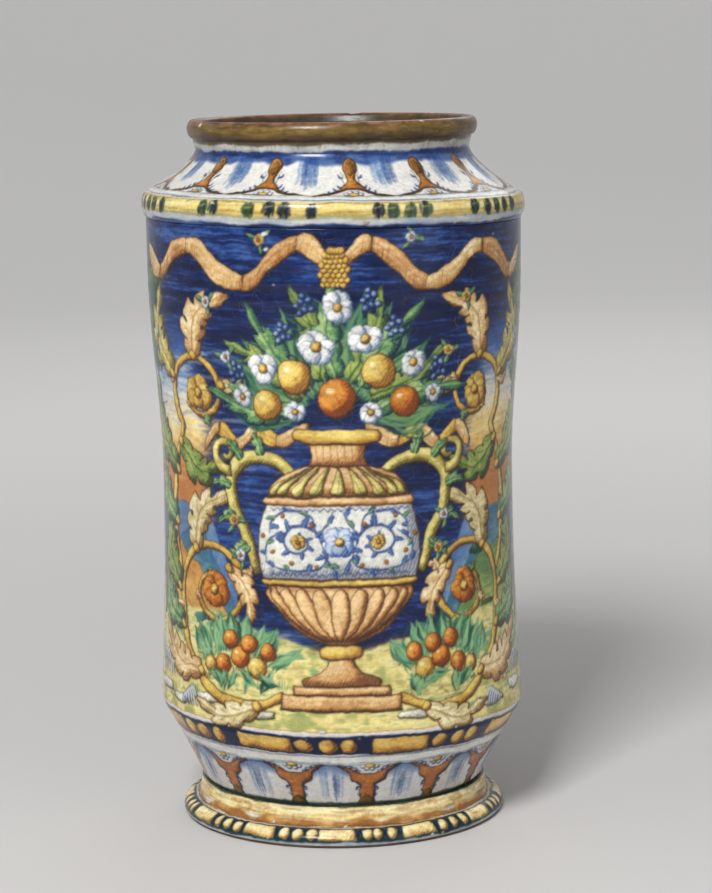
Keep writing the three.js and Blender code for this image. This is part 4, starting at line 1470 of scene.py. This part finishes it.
def fruitHeaps():
    for flip in (-1, 1):
        for k in range(11):
            t = k / 10
            featherSpray(flip * (29 + 34 * t), 78 + 7 * sin(pi * t),
                90 + flip * (60 - 120 * t) + about(0, 20), 15, 0.5, 34,
                ("tealDark", "346858", "teal", "68a07a", "a4c896"))
        for x, y, r in ((36, 77, 4.4), (44, 81, 4.6), (53, 77.5, 4.2), (40, 87, 3.9), (49, 88, 4),
                (60, 76, 3.6), (31, 84, 3.6)):
            fruit(flip * x, y, r, ("orange", "yellow")[int(x) % 3 == 0])
        for k in range(8):
            featherSpray(flip * (30 + 4.4 * k), 74, 270 + about(0, 40), 9, 0.5, 12,
                ("tealDark", "teal", "96be8c"))


# From the ground up: each stage is painted over the ones before it
for paintStage in (whiteGround, paintSky, cloudStreaks, farCountry, backScene, meadow, sideTrees,
        groundThings, ribbons, sideScrolls, fruitHeaps, handles, bouquet, urn, sprigs, shoulderBand,
        ribBand, beadBand, coneBand, footBands, lipBand, glazeLosses, fireColours):
    paintStage()
say("jar painted")


# What the hand left, in millimetres: a slow wobble and turning rings; the tilts are rise over distance
hand = {
    "ringHeight": 0.11,
    "wobble": 0.32,
    "ribTilt": -0.0165,
    "baseTilt": -0.022,
}

level = int(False)


def handWarp(points):
    # Changes the points in place: the rib and the base tilt, and the wall moves inwards, never outwards
    x, y, z = points[:, 0], points[:, 1], points[:, 2]
    theta = np.arctan2(x, -y)
    low = np.interp(z, [0, 14, 50, 120, 262, 286, 300], [0, 0.25, 1, 0, 0, 0, 0])
    high = np.interp(z, [120, 230, 255, 270, 292], [0, 0.55, 1, 1, 0])
    z += x * (low * hand["baseTilt"] + high * hand["ribTilt"])
    grip = np.interp(z, [0, 20, 60, 240, 258, 276], [0.1, 0.5, 1, 1, 0.3, 0.2])
    out = 0.5 + 0.5 * (0.6 * np.sin(2 * theta + z * 0.012) + 0.4 * np.sin(3 * theta - 1.3 + z * 0.02))
    rings = 0.5 + 0.5 * np.sin(z * 0.82 + 0.7 * np.sin(theta + z * 0.05) + theta)
    rings = rings * (0.5 + 0.5 * np.sin(z * 0.11 + 1.7))
    inwards = grip * (hand["wobble"] * out + hand["ringHeight"] * rings)
    radius = np.hypot(x, y)
    points[:, :2] *= np.where(radius > 1, (radius - inwards) / np.maximum(radius, 1), 1)[:, None]


def turnedMesh(name, rows, steps, fromDegrees=-180.0, toDegrees=180.0, closed=True):
    # Rows are radius, height, place along the outside, and 1 on the finished face
    full = bool(toDegrees - fromDegrees > 359)
    start = radians(fromDegrees)
    bm = bmesh.new()
    along = bm.verts.layers.float.new("along")
    face = bm.verts.layers.float.new("face")
    ring = []
    for radius, height, place, finished in rows:
        radius = max(radius, 0)
        v = bm.verts.new((radius * sin(start), -radius * cos(start), height))
        v[along] = place
        v[face] = finished
        ring.append(v)
    edges = [bm.edges.new(pair) for pair in zip(ring, ring[1:] + ring[:1] * closed)]
    bmesh.ops.spin(bm, geom=ring + edges, cent=(0, 0, 0), axis=(0, 0, 1), dvec=(0, 0, 0),
        angle=radians(toDegrees - fromDegrees), steps=steps, use_merge=full, use_duplicate=False)
    if full:
        bmesh.ops.remove_doubles(bm, verts=bm.verts, dist=0.0005)
    else:
        bmesh.ops.holes_fill(bm, edges=[e for e in bm.edges if e.is_boundary], sides=0)
    bmesh.ops.recalc_face_normals(bm, faces=bm.faces)
    mesh = bpy.data.meshes.new(name)
    bm.to_mesh(mesh)
    bm.free()
    return mesh


def readBack(items, key, kind=np.float32, width=1):
    values = np.empty(len(items) * width, kind)
    items.foreach_get(key, values)
    return values.reshape(-1, width) if width > 1 else values


def bakeMap(mesh, theta, along, depth, loops, firsts, counts, stacks, ring):
    # Lays the finished face out in stacks side by side, cut across its longer way; above them lie strips
    # for the back, the cut sides and the rims
    def spread(values):
        return (values - values.min()) / (values.max() - values.min())

    def mean(values):
        return np.add.reduceat(values, firsts) / counts

    turn = theta[loops]
    crosses = np.maximum.reduceat(turn, firsts) - np.minimum.reduceat(turn, firsts) > pi
    turn = np.where(np.repeat(crosses, counts) & (turn < 0), turn + 2 * pi, turn)
    around, up, front = spread(turn), spread(along[loops]), depth[loops]
    short, long = (up, around) if ring else (around, up)
    stack = np.repeat(np.clip((mean(long) * stacks).astype(int), 0, stacks - 1), counts)
    uv = np.stack([(stack + 0.02 + 0.96 * short) / stacks, np.clip(long * stacks - stack, -0.02, 1.02)
        * 0.84 + 0.02], 1)
    onFace = mean(front)
    back, sides = np.repeat(onFace < 0.01, counts), np.repeat(counts > 4, counts)
    rims = np.repeat((onFace > 0.01) & (onFace < 0.99), counts) & ~sides
    uv[back] = np.stack([0.01 + 0.98 * long, 0.89 + 0.04 * short], 1)[back]
    uv[sides] = np.stack([0.01 + 0.98 * up, 0.94 + 0.015 * np.round(around) + 0.01 * front], 1)[sides]
    uv[rims] = np.stack([0.01 + 0.98 * around, 0.97 + 0.013 * np.round(up) + 0.01 * front], 1)[rims]
    layer = mesh.uv_layers.new(name="OFBake")
    layer.uv.foreach_set("vector", uv.astype(np.float32).ravel())


def outlineNormals(theta, at, line, place):
    # True normals of the warped surface, so that neighbouring staves shade as one
    def warped(shift, angle):
        radius, height = (np.interp(at + shift, place, line[:, k]) for k in (0, 1))
        spot = np.column_stack([radius * np.sin(angle), -radius * np.cos(angle), height])
        handWarp(spot)
        return spot

    upwards = warped(0.3, theta) - warped(-0.3, theta)
    across = warped(0, theta + 0.004) - warped(0, theta - 0.004)
    normal = np.cross(across, upwards)
    return normal / (np.linalg.norm(normal, axis=1)[:, None] + 1e-12)


def offsetInwards(line, depth):
    return line + directions(line)[1] * depth


def evenly(line, spacing):
    # Evenly spaced points along the outline; a corner, where it turns sharply, keeps its own point
    gaps = np.hypot(*np.diff(line, axis=0).T)
    line = line[np.append(True, gaps > 1e-4)]
    far = np.append(0, np.cumsum(gaps[gaps > 1e-4]))
    step = np.diff(line, axis=0)
    angle = np.unwrap(np.arctan2(step[:, 1], step[:, 0]))
    corners = [0, *(np.flatnonzero(np.abs(np.diff(angle)) > 0.45) + 1), len(line) - 1]
    at = []
    for a, b in zip(corners[:-1], corners[1:]):
        count = max(1, int(round((far[b] - far[a]) / spacing)))
        at.extend(np.linspace(far[a], far[b], count + 1)[:-1])
    at = np.append(at, far[-1])
    return np.stack([np.interp(at, far, line[:, k]) for k in (0, 1)], 1), at


def sectionRows(line, along, coarse):
    # The finished face, then its back returning in longer steps, a glaze thickness behind
    back, backAt = evenly(offsetInwards(line, form["glaze"]), coarse)
    place = along[0] + backAt / backAt[-1] * (along[-1] - along[0])
    front = np.column_stack([line, along, np.ones(len(line))])
    return np.vstack([front, np.column_stack([back, place, np.zeros(len(back))])[::-1]])


def finishPiece(mesh, material, node, middle=0.0, stacks=0, ring=False, cut=None, outline=None):
    # Shading flags, the bake's map, the painted colours and the hand-made warp; then it takes its place
    points = readBack(mesh.vertices, "co", width=3).astype(float)
    along, depth = (readBack(mesh.attributes[key].data, "value") for key in ("along", "face"))
    loops = readBack(mesh.loops, "vertex_index", np.int32)
    firsts, counts = (readBack(mesh.polygons, key, np.int32) for key in ("loop_start", "loop_total"))
    onFace = np.add.reduceat(depth[loops], firsts) / counts
    mesh.polygons.foreach_set("use_smooth", ((onFace > 0.99) | (onFace < 0.01)) & (counts < 5))
    theta = np.arctan2(points[:, 0], -points[:, 1])
    if stacks:
        turn = (theta - middle + pi) % (2 * pi) - pi
        bakeMap(mesh, turn, along, depth, loops, firsts, counts, stacks, ring)
        rgba = np.ones((len(points), 4), np.float32)
        rows = np.clip((along - brush["low"]) * pixelsPerMm - 0.5, 0, canvasRows - 1.001)
        cols = ((theta / (2 * pi) + 0.5) * canvasCols - 0.5) % canvasCols
        rgba[:, :3] = np.clip(pickUp(rows, cols), 0, 1)
        attribute = mesh.color_attributes.new(name="paint", type="BYTE_COLOR", domain="POINT")
        attribute.data.foreach_set("color_srgb", rgba.ravel())
    if cut:
        cut(points, theta, along, depth)
    if outline:
        normals = outlineNormals(theta, along, *outline)
    handWarp(points)
    mesh.vertices.foreach_set("co", (points * millimetre).astype(np.float32).ravel())
    mesh.update()
    if outline:
        smoothCorner = np.repeat((onFace > 0.99) & (counts == 4), counts)[:, None]
        mesh.normals_split_custom_set(np.where(smoothCorner, normals[loops], 0).astype(np.float32))
    obj = bpy.data.objects.new(mesh.name, mesh)
    bpy.context.scene.collection.objects.link(obj)
    mesh.materials.append(material)
    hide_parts(node)
    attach(obj, "root")


def nodeOf(tree, kind, inputs=None, **settings):
    node = tree.nodes.new("ShaderNode" + kind)
    for name, value in settings.items():
        setattr(node, name, value)
    for name, value in (inputs or {}).items():
        if isinstance(value, bpy.types.NodeSocket):
            tree.links.new(value, node.inputs[name])
        else:
            node.inputs[name].default_value = value
    return node


def addUp(tree, total, *terms):
    # The total and each value times its weight
    for value, weight in terms:
        total = nodeOf(tree, "Math", {0: value, 1: weight, 2: total}, operation="MULTIPLY_ADD").outputs[0]
    return total


def times(tree, first, *others):
    for value in others:
        first = nodeOf(tree, "Math", {0: first, 1: value}, operation="MULTIPLY", use_clamp=True).outputs[0]
    return first


def ramp(tree, value, low, high, start=0.0, end=1.0):
    inputs = {"Value": value, "From Min": low, "From Max": high, "To Min": start, "To Max": end}
    return nodeOf(tree, "MapRange", inputs, interpolation_type="SMOOTHSTEP").outputs["Result"]


def mixColours(tree, share, a, b, blend="MIX"):
    return nodeOf(tree, "Mix", {0: share, 6: a, 7: b}, data_type="RGBA", blend_type=blend).outputs[2]


def noise(tree, place, scale, detail, roughness=0.6, output="Fac"):
    inputs = {"Vector": place, "Scale": scale, "Detail": detail, "Roughness": roughness}
    return nodeOf(tree, "TexNoise", inputs).outputs[output]


def linear(rgb):
    # From colour numbers of 0 to 255 as they look to what a shader's socket takes
    c = np.array(rgb) / 255
    return (*np.where(c <= 0.04045, c / 12.92, ((c + 0.055) / 1.055) ** 2.4).tolist(), 1.0)


def inMillimetres(tree, squash=(1, 1, 1)):
    place = nodeOf(tree, "TexCoord").outputs["Object"]
    return nodeOf(tree, "Mapping", {"Vector": place, "Scale": tuple(1000 * s
        for s in squash)}).outputs["Vector"]


def newGroup(name, inputs, outputs):
    group = bpy.data.node_groups.new(name, "ShaderNodeTree")
    for socketName, value in inputs.items():
        kind = "NodeSocketColor" if isinstance(value, tuple) else "NodeSocketFloat"
        group.interface.new_socket(name=socketName, in_out="INPUT", socket_type=kind).default_value = value
    for socketName, kind in outputs.items():
        group.interface.new_socket(name=socketName, in_out="OUTPUT", socket_type=kind)
    return group, group.nodes.new("NodeGroupInput").outputs, group.nodes.new("NodeGroupOutput").inputs


# What the kiln and the years leave on any glaze: scales in waves per millimetre, widths in shares of a cell
firing = {
    "brushScale": 0.22,
    "brushSquash": 5,
    "cloudScale": 0.06,
    "fineScale": 1.6,
    "crazingScale": 0.16,
    "crazingWidth": 0.02,
    "crazingTone": (104, 84, 62),
    "pinholeScale": 0.42,
    "pinholeWidth": (0.05, 0.11),
    "pinholeTone": (70, 56, 44),
    "skinScale": 0.11,
    "grain": {"brush": 0.34, "cloud": 0.22, "fine": 0.16},
    "dulling": {"rubbed": 0.3, "crazing": 0.3, "pinhole": 0.4},
    "relief": {"skin": 0.5, "brush": 0.055, "fine": 0.018, "pinhole": -0.12, "crazing": -0.03},
}


def firedSurface():
    group, get, put = newGroup(
        "firedSurface",
        {"Colour": (0.8, 0.8, 0.8, 1), "Grain": 0.5, "Crazing": 0.3, "Pinholes": 0.5, "Rubbed": 0.3,
         "Gloss": 0.16},
        {"Colour": "NodeSocketColor", "Roughness": "NodeSocketFloat", "Height": "NodeSocketFloat"})
    # Brush grain, clouds and fine speckle in the tone
    even = inMillimetres(group)
    brushed = noise(group, inMillimetres(group, (1, 1, firing["brushSquash"])), firing["brushScale"], 5)
    cloudy = noise(group, even, firing["cloudScale"], 4)
    fine = noise(group, even, firing["fineScale"], 3)
    grains = firing["grain"]
    tone = addUp(group, -sum(grains.values()) / 2, (brushed, grains["brush"]), (cloudy, grains["cloud"]),
        (fine, grains["fine"]))
    tone = addUp(group, 1.0, (tone, get["Grain"]))
    grey = nodeOf(group, "CombineColor", {"Red": tone, "Green": tone, "Blue": tone}).outputs["Color"]
    colour = mixColours(group, 1.0, get["Colour"], grey, "MULTIPLY")
    # Crazing: hair-thin stained lines where the glaze has cracked, only in places
    bent = noise(group, even, 0.3, 2, 0.5, "Color")
    shifted = nodeOf(group, "VectorMath", {0: bent, 1: (1.2, 1.2, 1.2), 2: even}, operation="MULTIPLY_ADD")
    cells = nodeOf(group, "TexVoronoi", {"Vector": shifted.outputs[0], "Scale": firing["crazingScale"]},
        feature="DISTANCE_TO_EDGE")
    line = ramp(group, cells.outputs["Distance"], 0.0, firing["crazingWidth"], 1.0, 0.0)
    line = times(group, line, ramp(group, cloudy, 0.46, 0.62), get["Crazing"])
    colour = mixColours(group, line, colour, linear(firing["crazingTone"]))
    # Pinholes, dark where the glaze has drawn back from a grain
    pits = nodeOf(group, "TexVoronoi",
        {"Vector": even, "Scale": firing["pinholeScale"]}).outputs["Distance"]
    chance = noise(group, even, 0.19, 2, 0.5)
    pit = ramp(group, pits, *firing["pinholeWidth"], 1.0, 0.0)
    pit = times(group, pit, ramp(group, chance, 0.52, 0.64), get["Pinholes"])
    colour = mixColours(group, times(group, pit, 0.75), colour, linear(firing["pinholeTone"]))
    rubbed = times(group, ramp(group, brushed, 0.5, 0.72), get["Rubbed"])
    marks = {"skin": noise(group, even, firing["skinScale"], 2, 0.4), "brush": brushed, "fine": fine,
        "pinhole": pit, "crazing": line, "rubbed": rubbed}
    dull = addUp(group, get["Gloss"], *[(marks[key], weight) for key, weight in firing["dulling"].items()])
    height = addUp(group, 0.0, *[(marks[key], weight) for key, weight in firing["relief"].items()])
    for value, target in ((colour, "Colour"), (dull, "Roughness"), (height, "Height")):
        group.links.new(value, put[target])
    return group


def glazeMaterial(name, surface, piece, colour=None):
    material = bpy.data.materials.new(name)
    material.use_nodes = True
    tree = material.node_tree
    shader = tree.nodes["Principled BSDF"]
    base = colour(tree) if colour else nodeOf(tree, "Attribute", attribute_name="paint").outputs["Color"]
    detail = nodeOf(tree, "Group", node_tree=surface)
    tree.links.new(base, detail.inputs["Colour"])
    for key, value in piece["surface"].items():
        detail.inputs[key].default_value = value
    relief = nodeOf(tree, "Bump", {"Height": detail.outputs["Height"], "Strength": piece["bump"],
        "Distance": 0.001})
    for output, target in ((detail.outputs["Colour"], "Base Color"),
            (detail.outputs["Roughness"], "Roughness"), (relief.outputs["Normal"], "Normal")):
        tree.links.new(output, shader.inputs[target])
    shader.inputs["Specular IOR Level"].default_value = piece["specular"]
    return material


# Painted glaze: ten staves, finer where the picture is; steps in millimetres
paintedGlaze = {
    "frontStaves": 6,
    "frontHalfDegrees": 95,
    "backStaves": 4,
    "frontStep": (0.39, 0.7),
    "backStep": (0.66, 0.7),
    "hiddenStep": 3.5,
    "surface": {"Grain": 0.7, "Crazing": 0.35, "Pinholes": 0.6, "Rubbed": 0.25, "Gloss": 0.17},
    "bump": 0.35,
    "specular": 0.3,
}


def paintedStaves(surface):
    piece = paintedGlaze
    material = glazeMaterial("paintedTinGlaze", surface, piece)
    half = piece["frontHalfDegrees"]
    cuts = np.append(np.linspace(-half, half, piece["frontStaves"] + 1),
        np.linspace(half, 360 - half, piece["backStaves"] + 1)[1:])
    for number, (a, b) in enumerate(zip(cuts[:-1], cuts[1:])):
        step = piece["frontStep" if number < piece["frontStaves"] else "backStep"][level]
        line, at = evenly(body, step)
        at = at + run[len(foot)]
        steps = int(radians(b - a) * brush["wrapRadius"] / step)
        mesh = turnedMesh(f"painted_glaze_{number:02d}", sectionRows(line, at, piece["hiddenStep"]),
            steps, a, b)
        finishPiece(mesh, material, "painted_glaze", middle=radians((a + b) / 2), stacks=2,
            outline=(line, at))


# Glaze of the foot below the groove
footGlaze = {
    "step": (0.33, 0.55),
    "steps": (1000, 360),
    "surface": {"Grain": 1.0, "Crazing": 0.5, "Pinholes": 0.8, "Rubbed": 0.5, "Gloss": 0.2},
    "bump": 0.35,
    "specular": 0.3,
}


def footPiece(surface):
    line, at = evenly(np.vstack([foot, body[0]]), footGlaze["step"][level])
    mesh = turnedMesh("foot_glaze_bands", sectionRows(line, at + run[0], 3.0), footGlaze["steps"][level])
    finishPiece(mesh, glazeMaterial("footGlaze", surface, footGlaze), "foot_glaze", stacks=5, ring=True)


# Glaze of the lip, rubbed dull; its chips are set with the painted bands
lipGlaze = {
    "radius": 61,
    "step": (0.33, 0.6),
    "steps": (1150, 300),
    "surface": {"Grain": 1.4, "Crazing": 0.3, "Pinholes": 1.0, "Rubbed": 0.8, "Gloss": 0.28},
    "bump": 0.35,
    "specular": 0.32,
}


def chipLip(points, theta, along, depth):
    # Flakes off the lip at the left, and small knocks elsewhere along the crest
    for degrees, place, wide, deep in border["lipChipsAndGlint"]:
        away = np.hypot((theta - radians(degrees)) * lipGlaze["radius"], (along - run[-1] - place) * 1.3)
        dent = deep * np.clip(1 - (away / wide) ** 2, 0, 1) ** 0.6 * depth
        radius = np.hypot(points[:, 0], points[:, 1])
        points[:, :2] *= ((radius - dent * 0.7) / radius)[:, None]
        points[:, 2] -= dent * 0.5


def lipPiece(surface):
    line, at = evenly(lipLine(), lipGlaze["step"][level])
    mesh = turnedMesh("lip_glaze_band", sectionRows(line, at + run[-1], 3.0), lipGlaze["steps"][level])
    finishPiece(mesh, glazeMaterial("wornLipGlaze", surface, lipGlaze), "lip_glaze", stacks=5, ring=True,
        cut=chipLip)


# Glaze of the inside, thin and stained
innerGlaze = {
    "step": (1.6, 2.0),
    "steps": (240, 120),
    "thin": (176, 170, 156),
    "stained": (142, 126, 102),
    "ringed": (196, 190, 176),
    "neck": (104, 94, 82),
    "floor": (118, 98, 74),
    "surface": {"Grain": 1.0, "Crazing": 0.6, "Pinholes": 0.9, "Rubbed": 0.6, "Gloss": 0.3},
    "bump": 0.35,
    "specular": 0.4,
}


def insideColour(tree):
    # Thin greyish glaze, brown where it has pooled and stained, ringed by the potter's fingers
    tones = {key: linear(innerGlaze[key]) for key in ("thin", "stained", "ringed", "neck", "floor")}
    even = inMillimetres(tree)
    height = nodeOf(tree, "SeparateXYZ", {"Vector": even}).outputs["Z"]
    colour = mixColours(tree, ramp(tree, noise(tree, even, 0.035, 5), 0.35, 0.68), tones["thin"],
        tones["stained"])
    rings = noise(tree, inMillimetres(tree, (0.25, 0.25, 1)), 0.22, 3)
    colour = mixColours(tree, ramp(tree, rings, 0.45, 0.7), colour, tones["ringed"])
    # Darker towards the neck and towards the floor
    colour = mixColours(tree, ramp(tree, height, 262, 292), colour, tones["neck"])
    return mixColours(tree, ramp(tree, height, 12, 40, 1.0, 0.0), colour, tones["floor"])


def liningPiece(surface):
    line, at = evenly(insideLine(), innerGlaze["step"][level])
    rows = np.roll(sectionRows(line, at, 6.0), -len(line), axis=0)
    mesh = turnedMesh("inner_glaze_lining", rows, innerGlaze["steps"][level], closed=False)
    finishPiece(mesh, glazeMaterial("insideGlaze", surface, innerGlaze, insideColour), "inner_glaze")


# The fired pot under its glazes; only the ring it stands on shows
clayPot = {
    "step": 3.2,
    "steps": (180, 120),
    "pale": (188, 150, 110),
    "dark": (150, 112, 78),
    # The grit colour also paints the contact shadow along the bottom of the ring
    "gritAndContactShadow": (84, 62, 46),
    "soot": (118, 96, 76),
    "surface": {"Grain": 1.2, "Crazing": 0.0, "Pinholes": 0.8, "Rubbed": 0.2, "Gloss": 0.8},
    "bump": 0.6,
    "specular": 0.2,
}


def clayColour(tree):
    tones = {key: linear(clayPot[key]) for key in ("pale", "dark", "gritAndContactShadow", "soot")}
    even = inMillimetres(tree)
    cloudy = noise(tree, even, 0.09, 6)
    colour = mixColours(tree, ramp(tree, cloudy, 0.36, 0.66), tones["pale"], tones["dark"])
    colour = mixColours(tree, ramp(tree, noise(tree, even, 2.2, 3, 0.7), 0.6, 0.7), colour, tones["gritAndContactShadow"])
    colour = mixColours(tree, ramp(tree, cloudy, 0.62, 0.74), colour, tones["soot"])
    # Painted contact shadow: the ring turns to the grit colour towards its bottom, where it stands on the
    # shelf
    height = nodeOf(tree, "SeparateXYZ", {"Vector": even}).outputs["Z"]
    return mixColours(tree, ramp(tree, height, 0.2, 1.8, 0.85, 0.0), colour, tones["gritAndContactShadow"])


def clayPiece(surface):
    # Ring and recess underneath; the outside and the inside are sunk by the glaze and the gap
    finished = np.vstack([foot, body, lipLine()[1:], insideLine()])
    points, _ = evenly(offsetInwards(finished, form["glaze"] + form["fireGap"]), clayPot["step"])
    points[-1, 0] = 0
    outer, deep = points[0, 0], form["recessDepth"]
    inner = outer - form["ringWidth"]
    under = [(0, deep), (inner - deep - 1.2, deep), (inner - 0.8, 0.9), (inner + 0.8, 0), (outer - 1, 0),
        (outer - 0.2, 0.35)]
    line = np.vstack([under, points])
    rows = np.column_stack([line, 0 * line[:, 0], 0 * line[:, 0] + 0.5])
    mesh = turnedMesh("clay_pot", rows, clayPot["steps"][level], closed=False)
    finishPiece(mesh, glazeMaterial("bareClay", surface, clayPot, clayColour), "clay_body")


# Soft studio light: a high window at the left, weaker lamps round the jar, and a pale floor that sweeps up
studio = {
    "skyStrength": 0.27,
    "skyTone": (0.94, 0.96, 1.0),
    "lamps": {
        "windowLight": {"place": (-0.5, -1.45, 1.42), "size": 0.55, "watts": 38},
        "sideLight": {"place": (-1.55, -0.45, 0.85), "size": 0.9, "watts": 1.0},
        "fillLight": {"place": (1.35, -1.2, 0.6), "size": 1.2, "watts": 3.5},
        "backLight": {"place": (0.5, 1.7, 1.5), "size": 1.2, "watts": 6.5},
    },
    "lampTarget": (0, 0, 0.16),
    "floorTone": (208, 206, 204),
    "farGlow": 0.22,
    "glowFrom": 0.0,
    "glowTo": 1.35,
    "floorRoughness": 0.9,
    "floorSteps": 96,
    "floorRadius": 2.2,
    "sweepRadius": 1.3,
    "sweepTop": 2.6,
}


def softLamps():
    target = Vector(studio["lampTarget"])
    for name, lamp in studio["lamps"].items():
        data = bpy.data.lights.new(name, "AREA")
        data.size = lamp["size"]
        data.energy = lamp["watts"]
        obj = bpy.data.objects.new(name, data)
        obj.location = lamp["place"]
        obj.rotation_euler = (target - Vector(lamp["place"])).to_track_quat("-Z", "Y").to_euler()
        bpy.context.scene.collection.objects.link(obj)


def paleFloor():
    # The floor sweeps up all round, so that no edge shows behind the jar from any side
    flat, bow = studio["floorRadius"], studio["sweepRadius"]
    turns = np.radians(np.arange(0, 91, 6))
    sweep = np.column_stack([flat + bow * np.sin(turns), bow * (1 - np.cos(turns))])
    line = np.vstack([(0, 0), (flat / 2, 0), sweep, (flat + bow, studio["sweepTop"])])
    mesh = turnedMesh("studio_floor", np.column_stack([line, 0 * line]), studio["floorSteps"], closed=False)
    mesh.flip_normals()
    mesh.polygons.foreach_set("use_smooth", [True] * len(mesh.polygons))
    floor = bpy.data.objects.new("studio_floor", mesh)
    bpy.context.scene.collection.objects.link(floor)
    material = bpy.data.materials.new("palePaper")
    material.use_nodes = True
    tree = material.node_tree
    shader = tree.nodes["Principled BSDF"]
    shader.inputs["Base Color"].default_value = linear(studio["floorTone"])
    shader.inputs["Roughness"].default_value = studio["floorRoughness"]
    shader.inputs["Emission Color"].default_value = (1, 1, 1, 1)
    # Far from the jar the paper glows a little where it is seen, so that the background stays pale
    place = nodeOf(tree, "TexCoord").outputs["Object"]
    reach = nodeOf(tree, "VectorMath", {0: place}, operation="LENGTH").outputs["Value"]
    rays = nodeOf(tree, "LightPath").outputs
    seen = addUp(tree, 0.0, (rays["Is Camera Ray"], 1.0), (rays["Is Glossy Ray"], 1.0),
        (rays["Is Transmission Ray"], 1.0))
    glow = times(tree, ramp(tree, reach, studio["glowFrom"], studio["glowTo"]), seen, studio["farGlow"])
    tree.links.new(glow, shader.inputs["Emission Strength"])
    mesh.materials.append(material)


def studioAir():
    world = bpy.data.worlds.new("studioAir")
    bpy.context.scene.world = world
    world.use_nodes = True
    air = world.node_tree.nodes["Background"]
    air.inputs["Color"].default_value = (*studio["skyTone"], 1)
    air.inputs["Strength"].default_value = studio["skyStrength"]


# The photograph's view: measured from the jar's ellipses, with the camera rolled a little
view = {
    "place": (0.0, -1.194, 0.339),
    "pitchDegrees": 8.59,
    "yawDegrees": 0.384,
    "rollDegrees": 0.95,
    "focalPixels": 2798,
    "imageHeight": 893,
    "sensorHeight": 24,
    "clip": (0.05, 20),
}


def photoCamera():
    pitch, yaw, roll = (radians(view[k]) for k in ("pitchDegrees", "yawDegrees", "rollDegrees"))
    forward = Vector((sin(yaw) * cos(pitch), cos(yaw) * cos(pitch), -sin(pitch)))
    right = forward.cross(Vector((0, 0, 1))).normalized()
    up = right.cross(forward)
    turnedRight = right * cos(roll) - up * sin(roll)
    turnedUp = right * sin(roll) + up * cos(roll)
    data = bpy.data.cameras.new("photoView")
    data.sensor_fit = "VERTICAL"
    data.sensor_height = view["sensorHeight"]
    data.lens = view["sensorHeight"] * view["focalPixels"] / view["imageHeight"]
    data.clip_start, data.clip_end = view["clip"]
    camera = bpy.data.objects.new("photoView", data)
    basis = Matrix((turnedRight, turnedUp, -forward)).transposed().to_4x4()
    camera.matrix_world = Matrix.Translation(Vector(view["place"])) @ basis
    bpy.context.scene.collection.objects.link(camera)
    bpy.context.scene.camera = camera


glazed = firedSurface()
paintedStaves(glazed)
say("painted glaze made")
footPiece(glazed)
lipPiece(glazed)
liningPiece(glazed)
clayPiece(glazed)
say("other pieces made")
studioAir()
softLamps()
paleFloor()
photoCamera()
bpy.context.scene.view_settings.view_transform = "Standard"
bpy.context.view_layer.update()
say("scene ready")
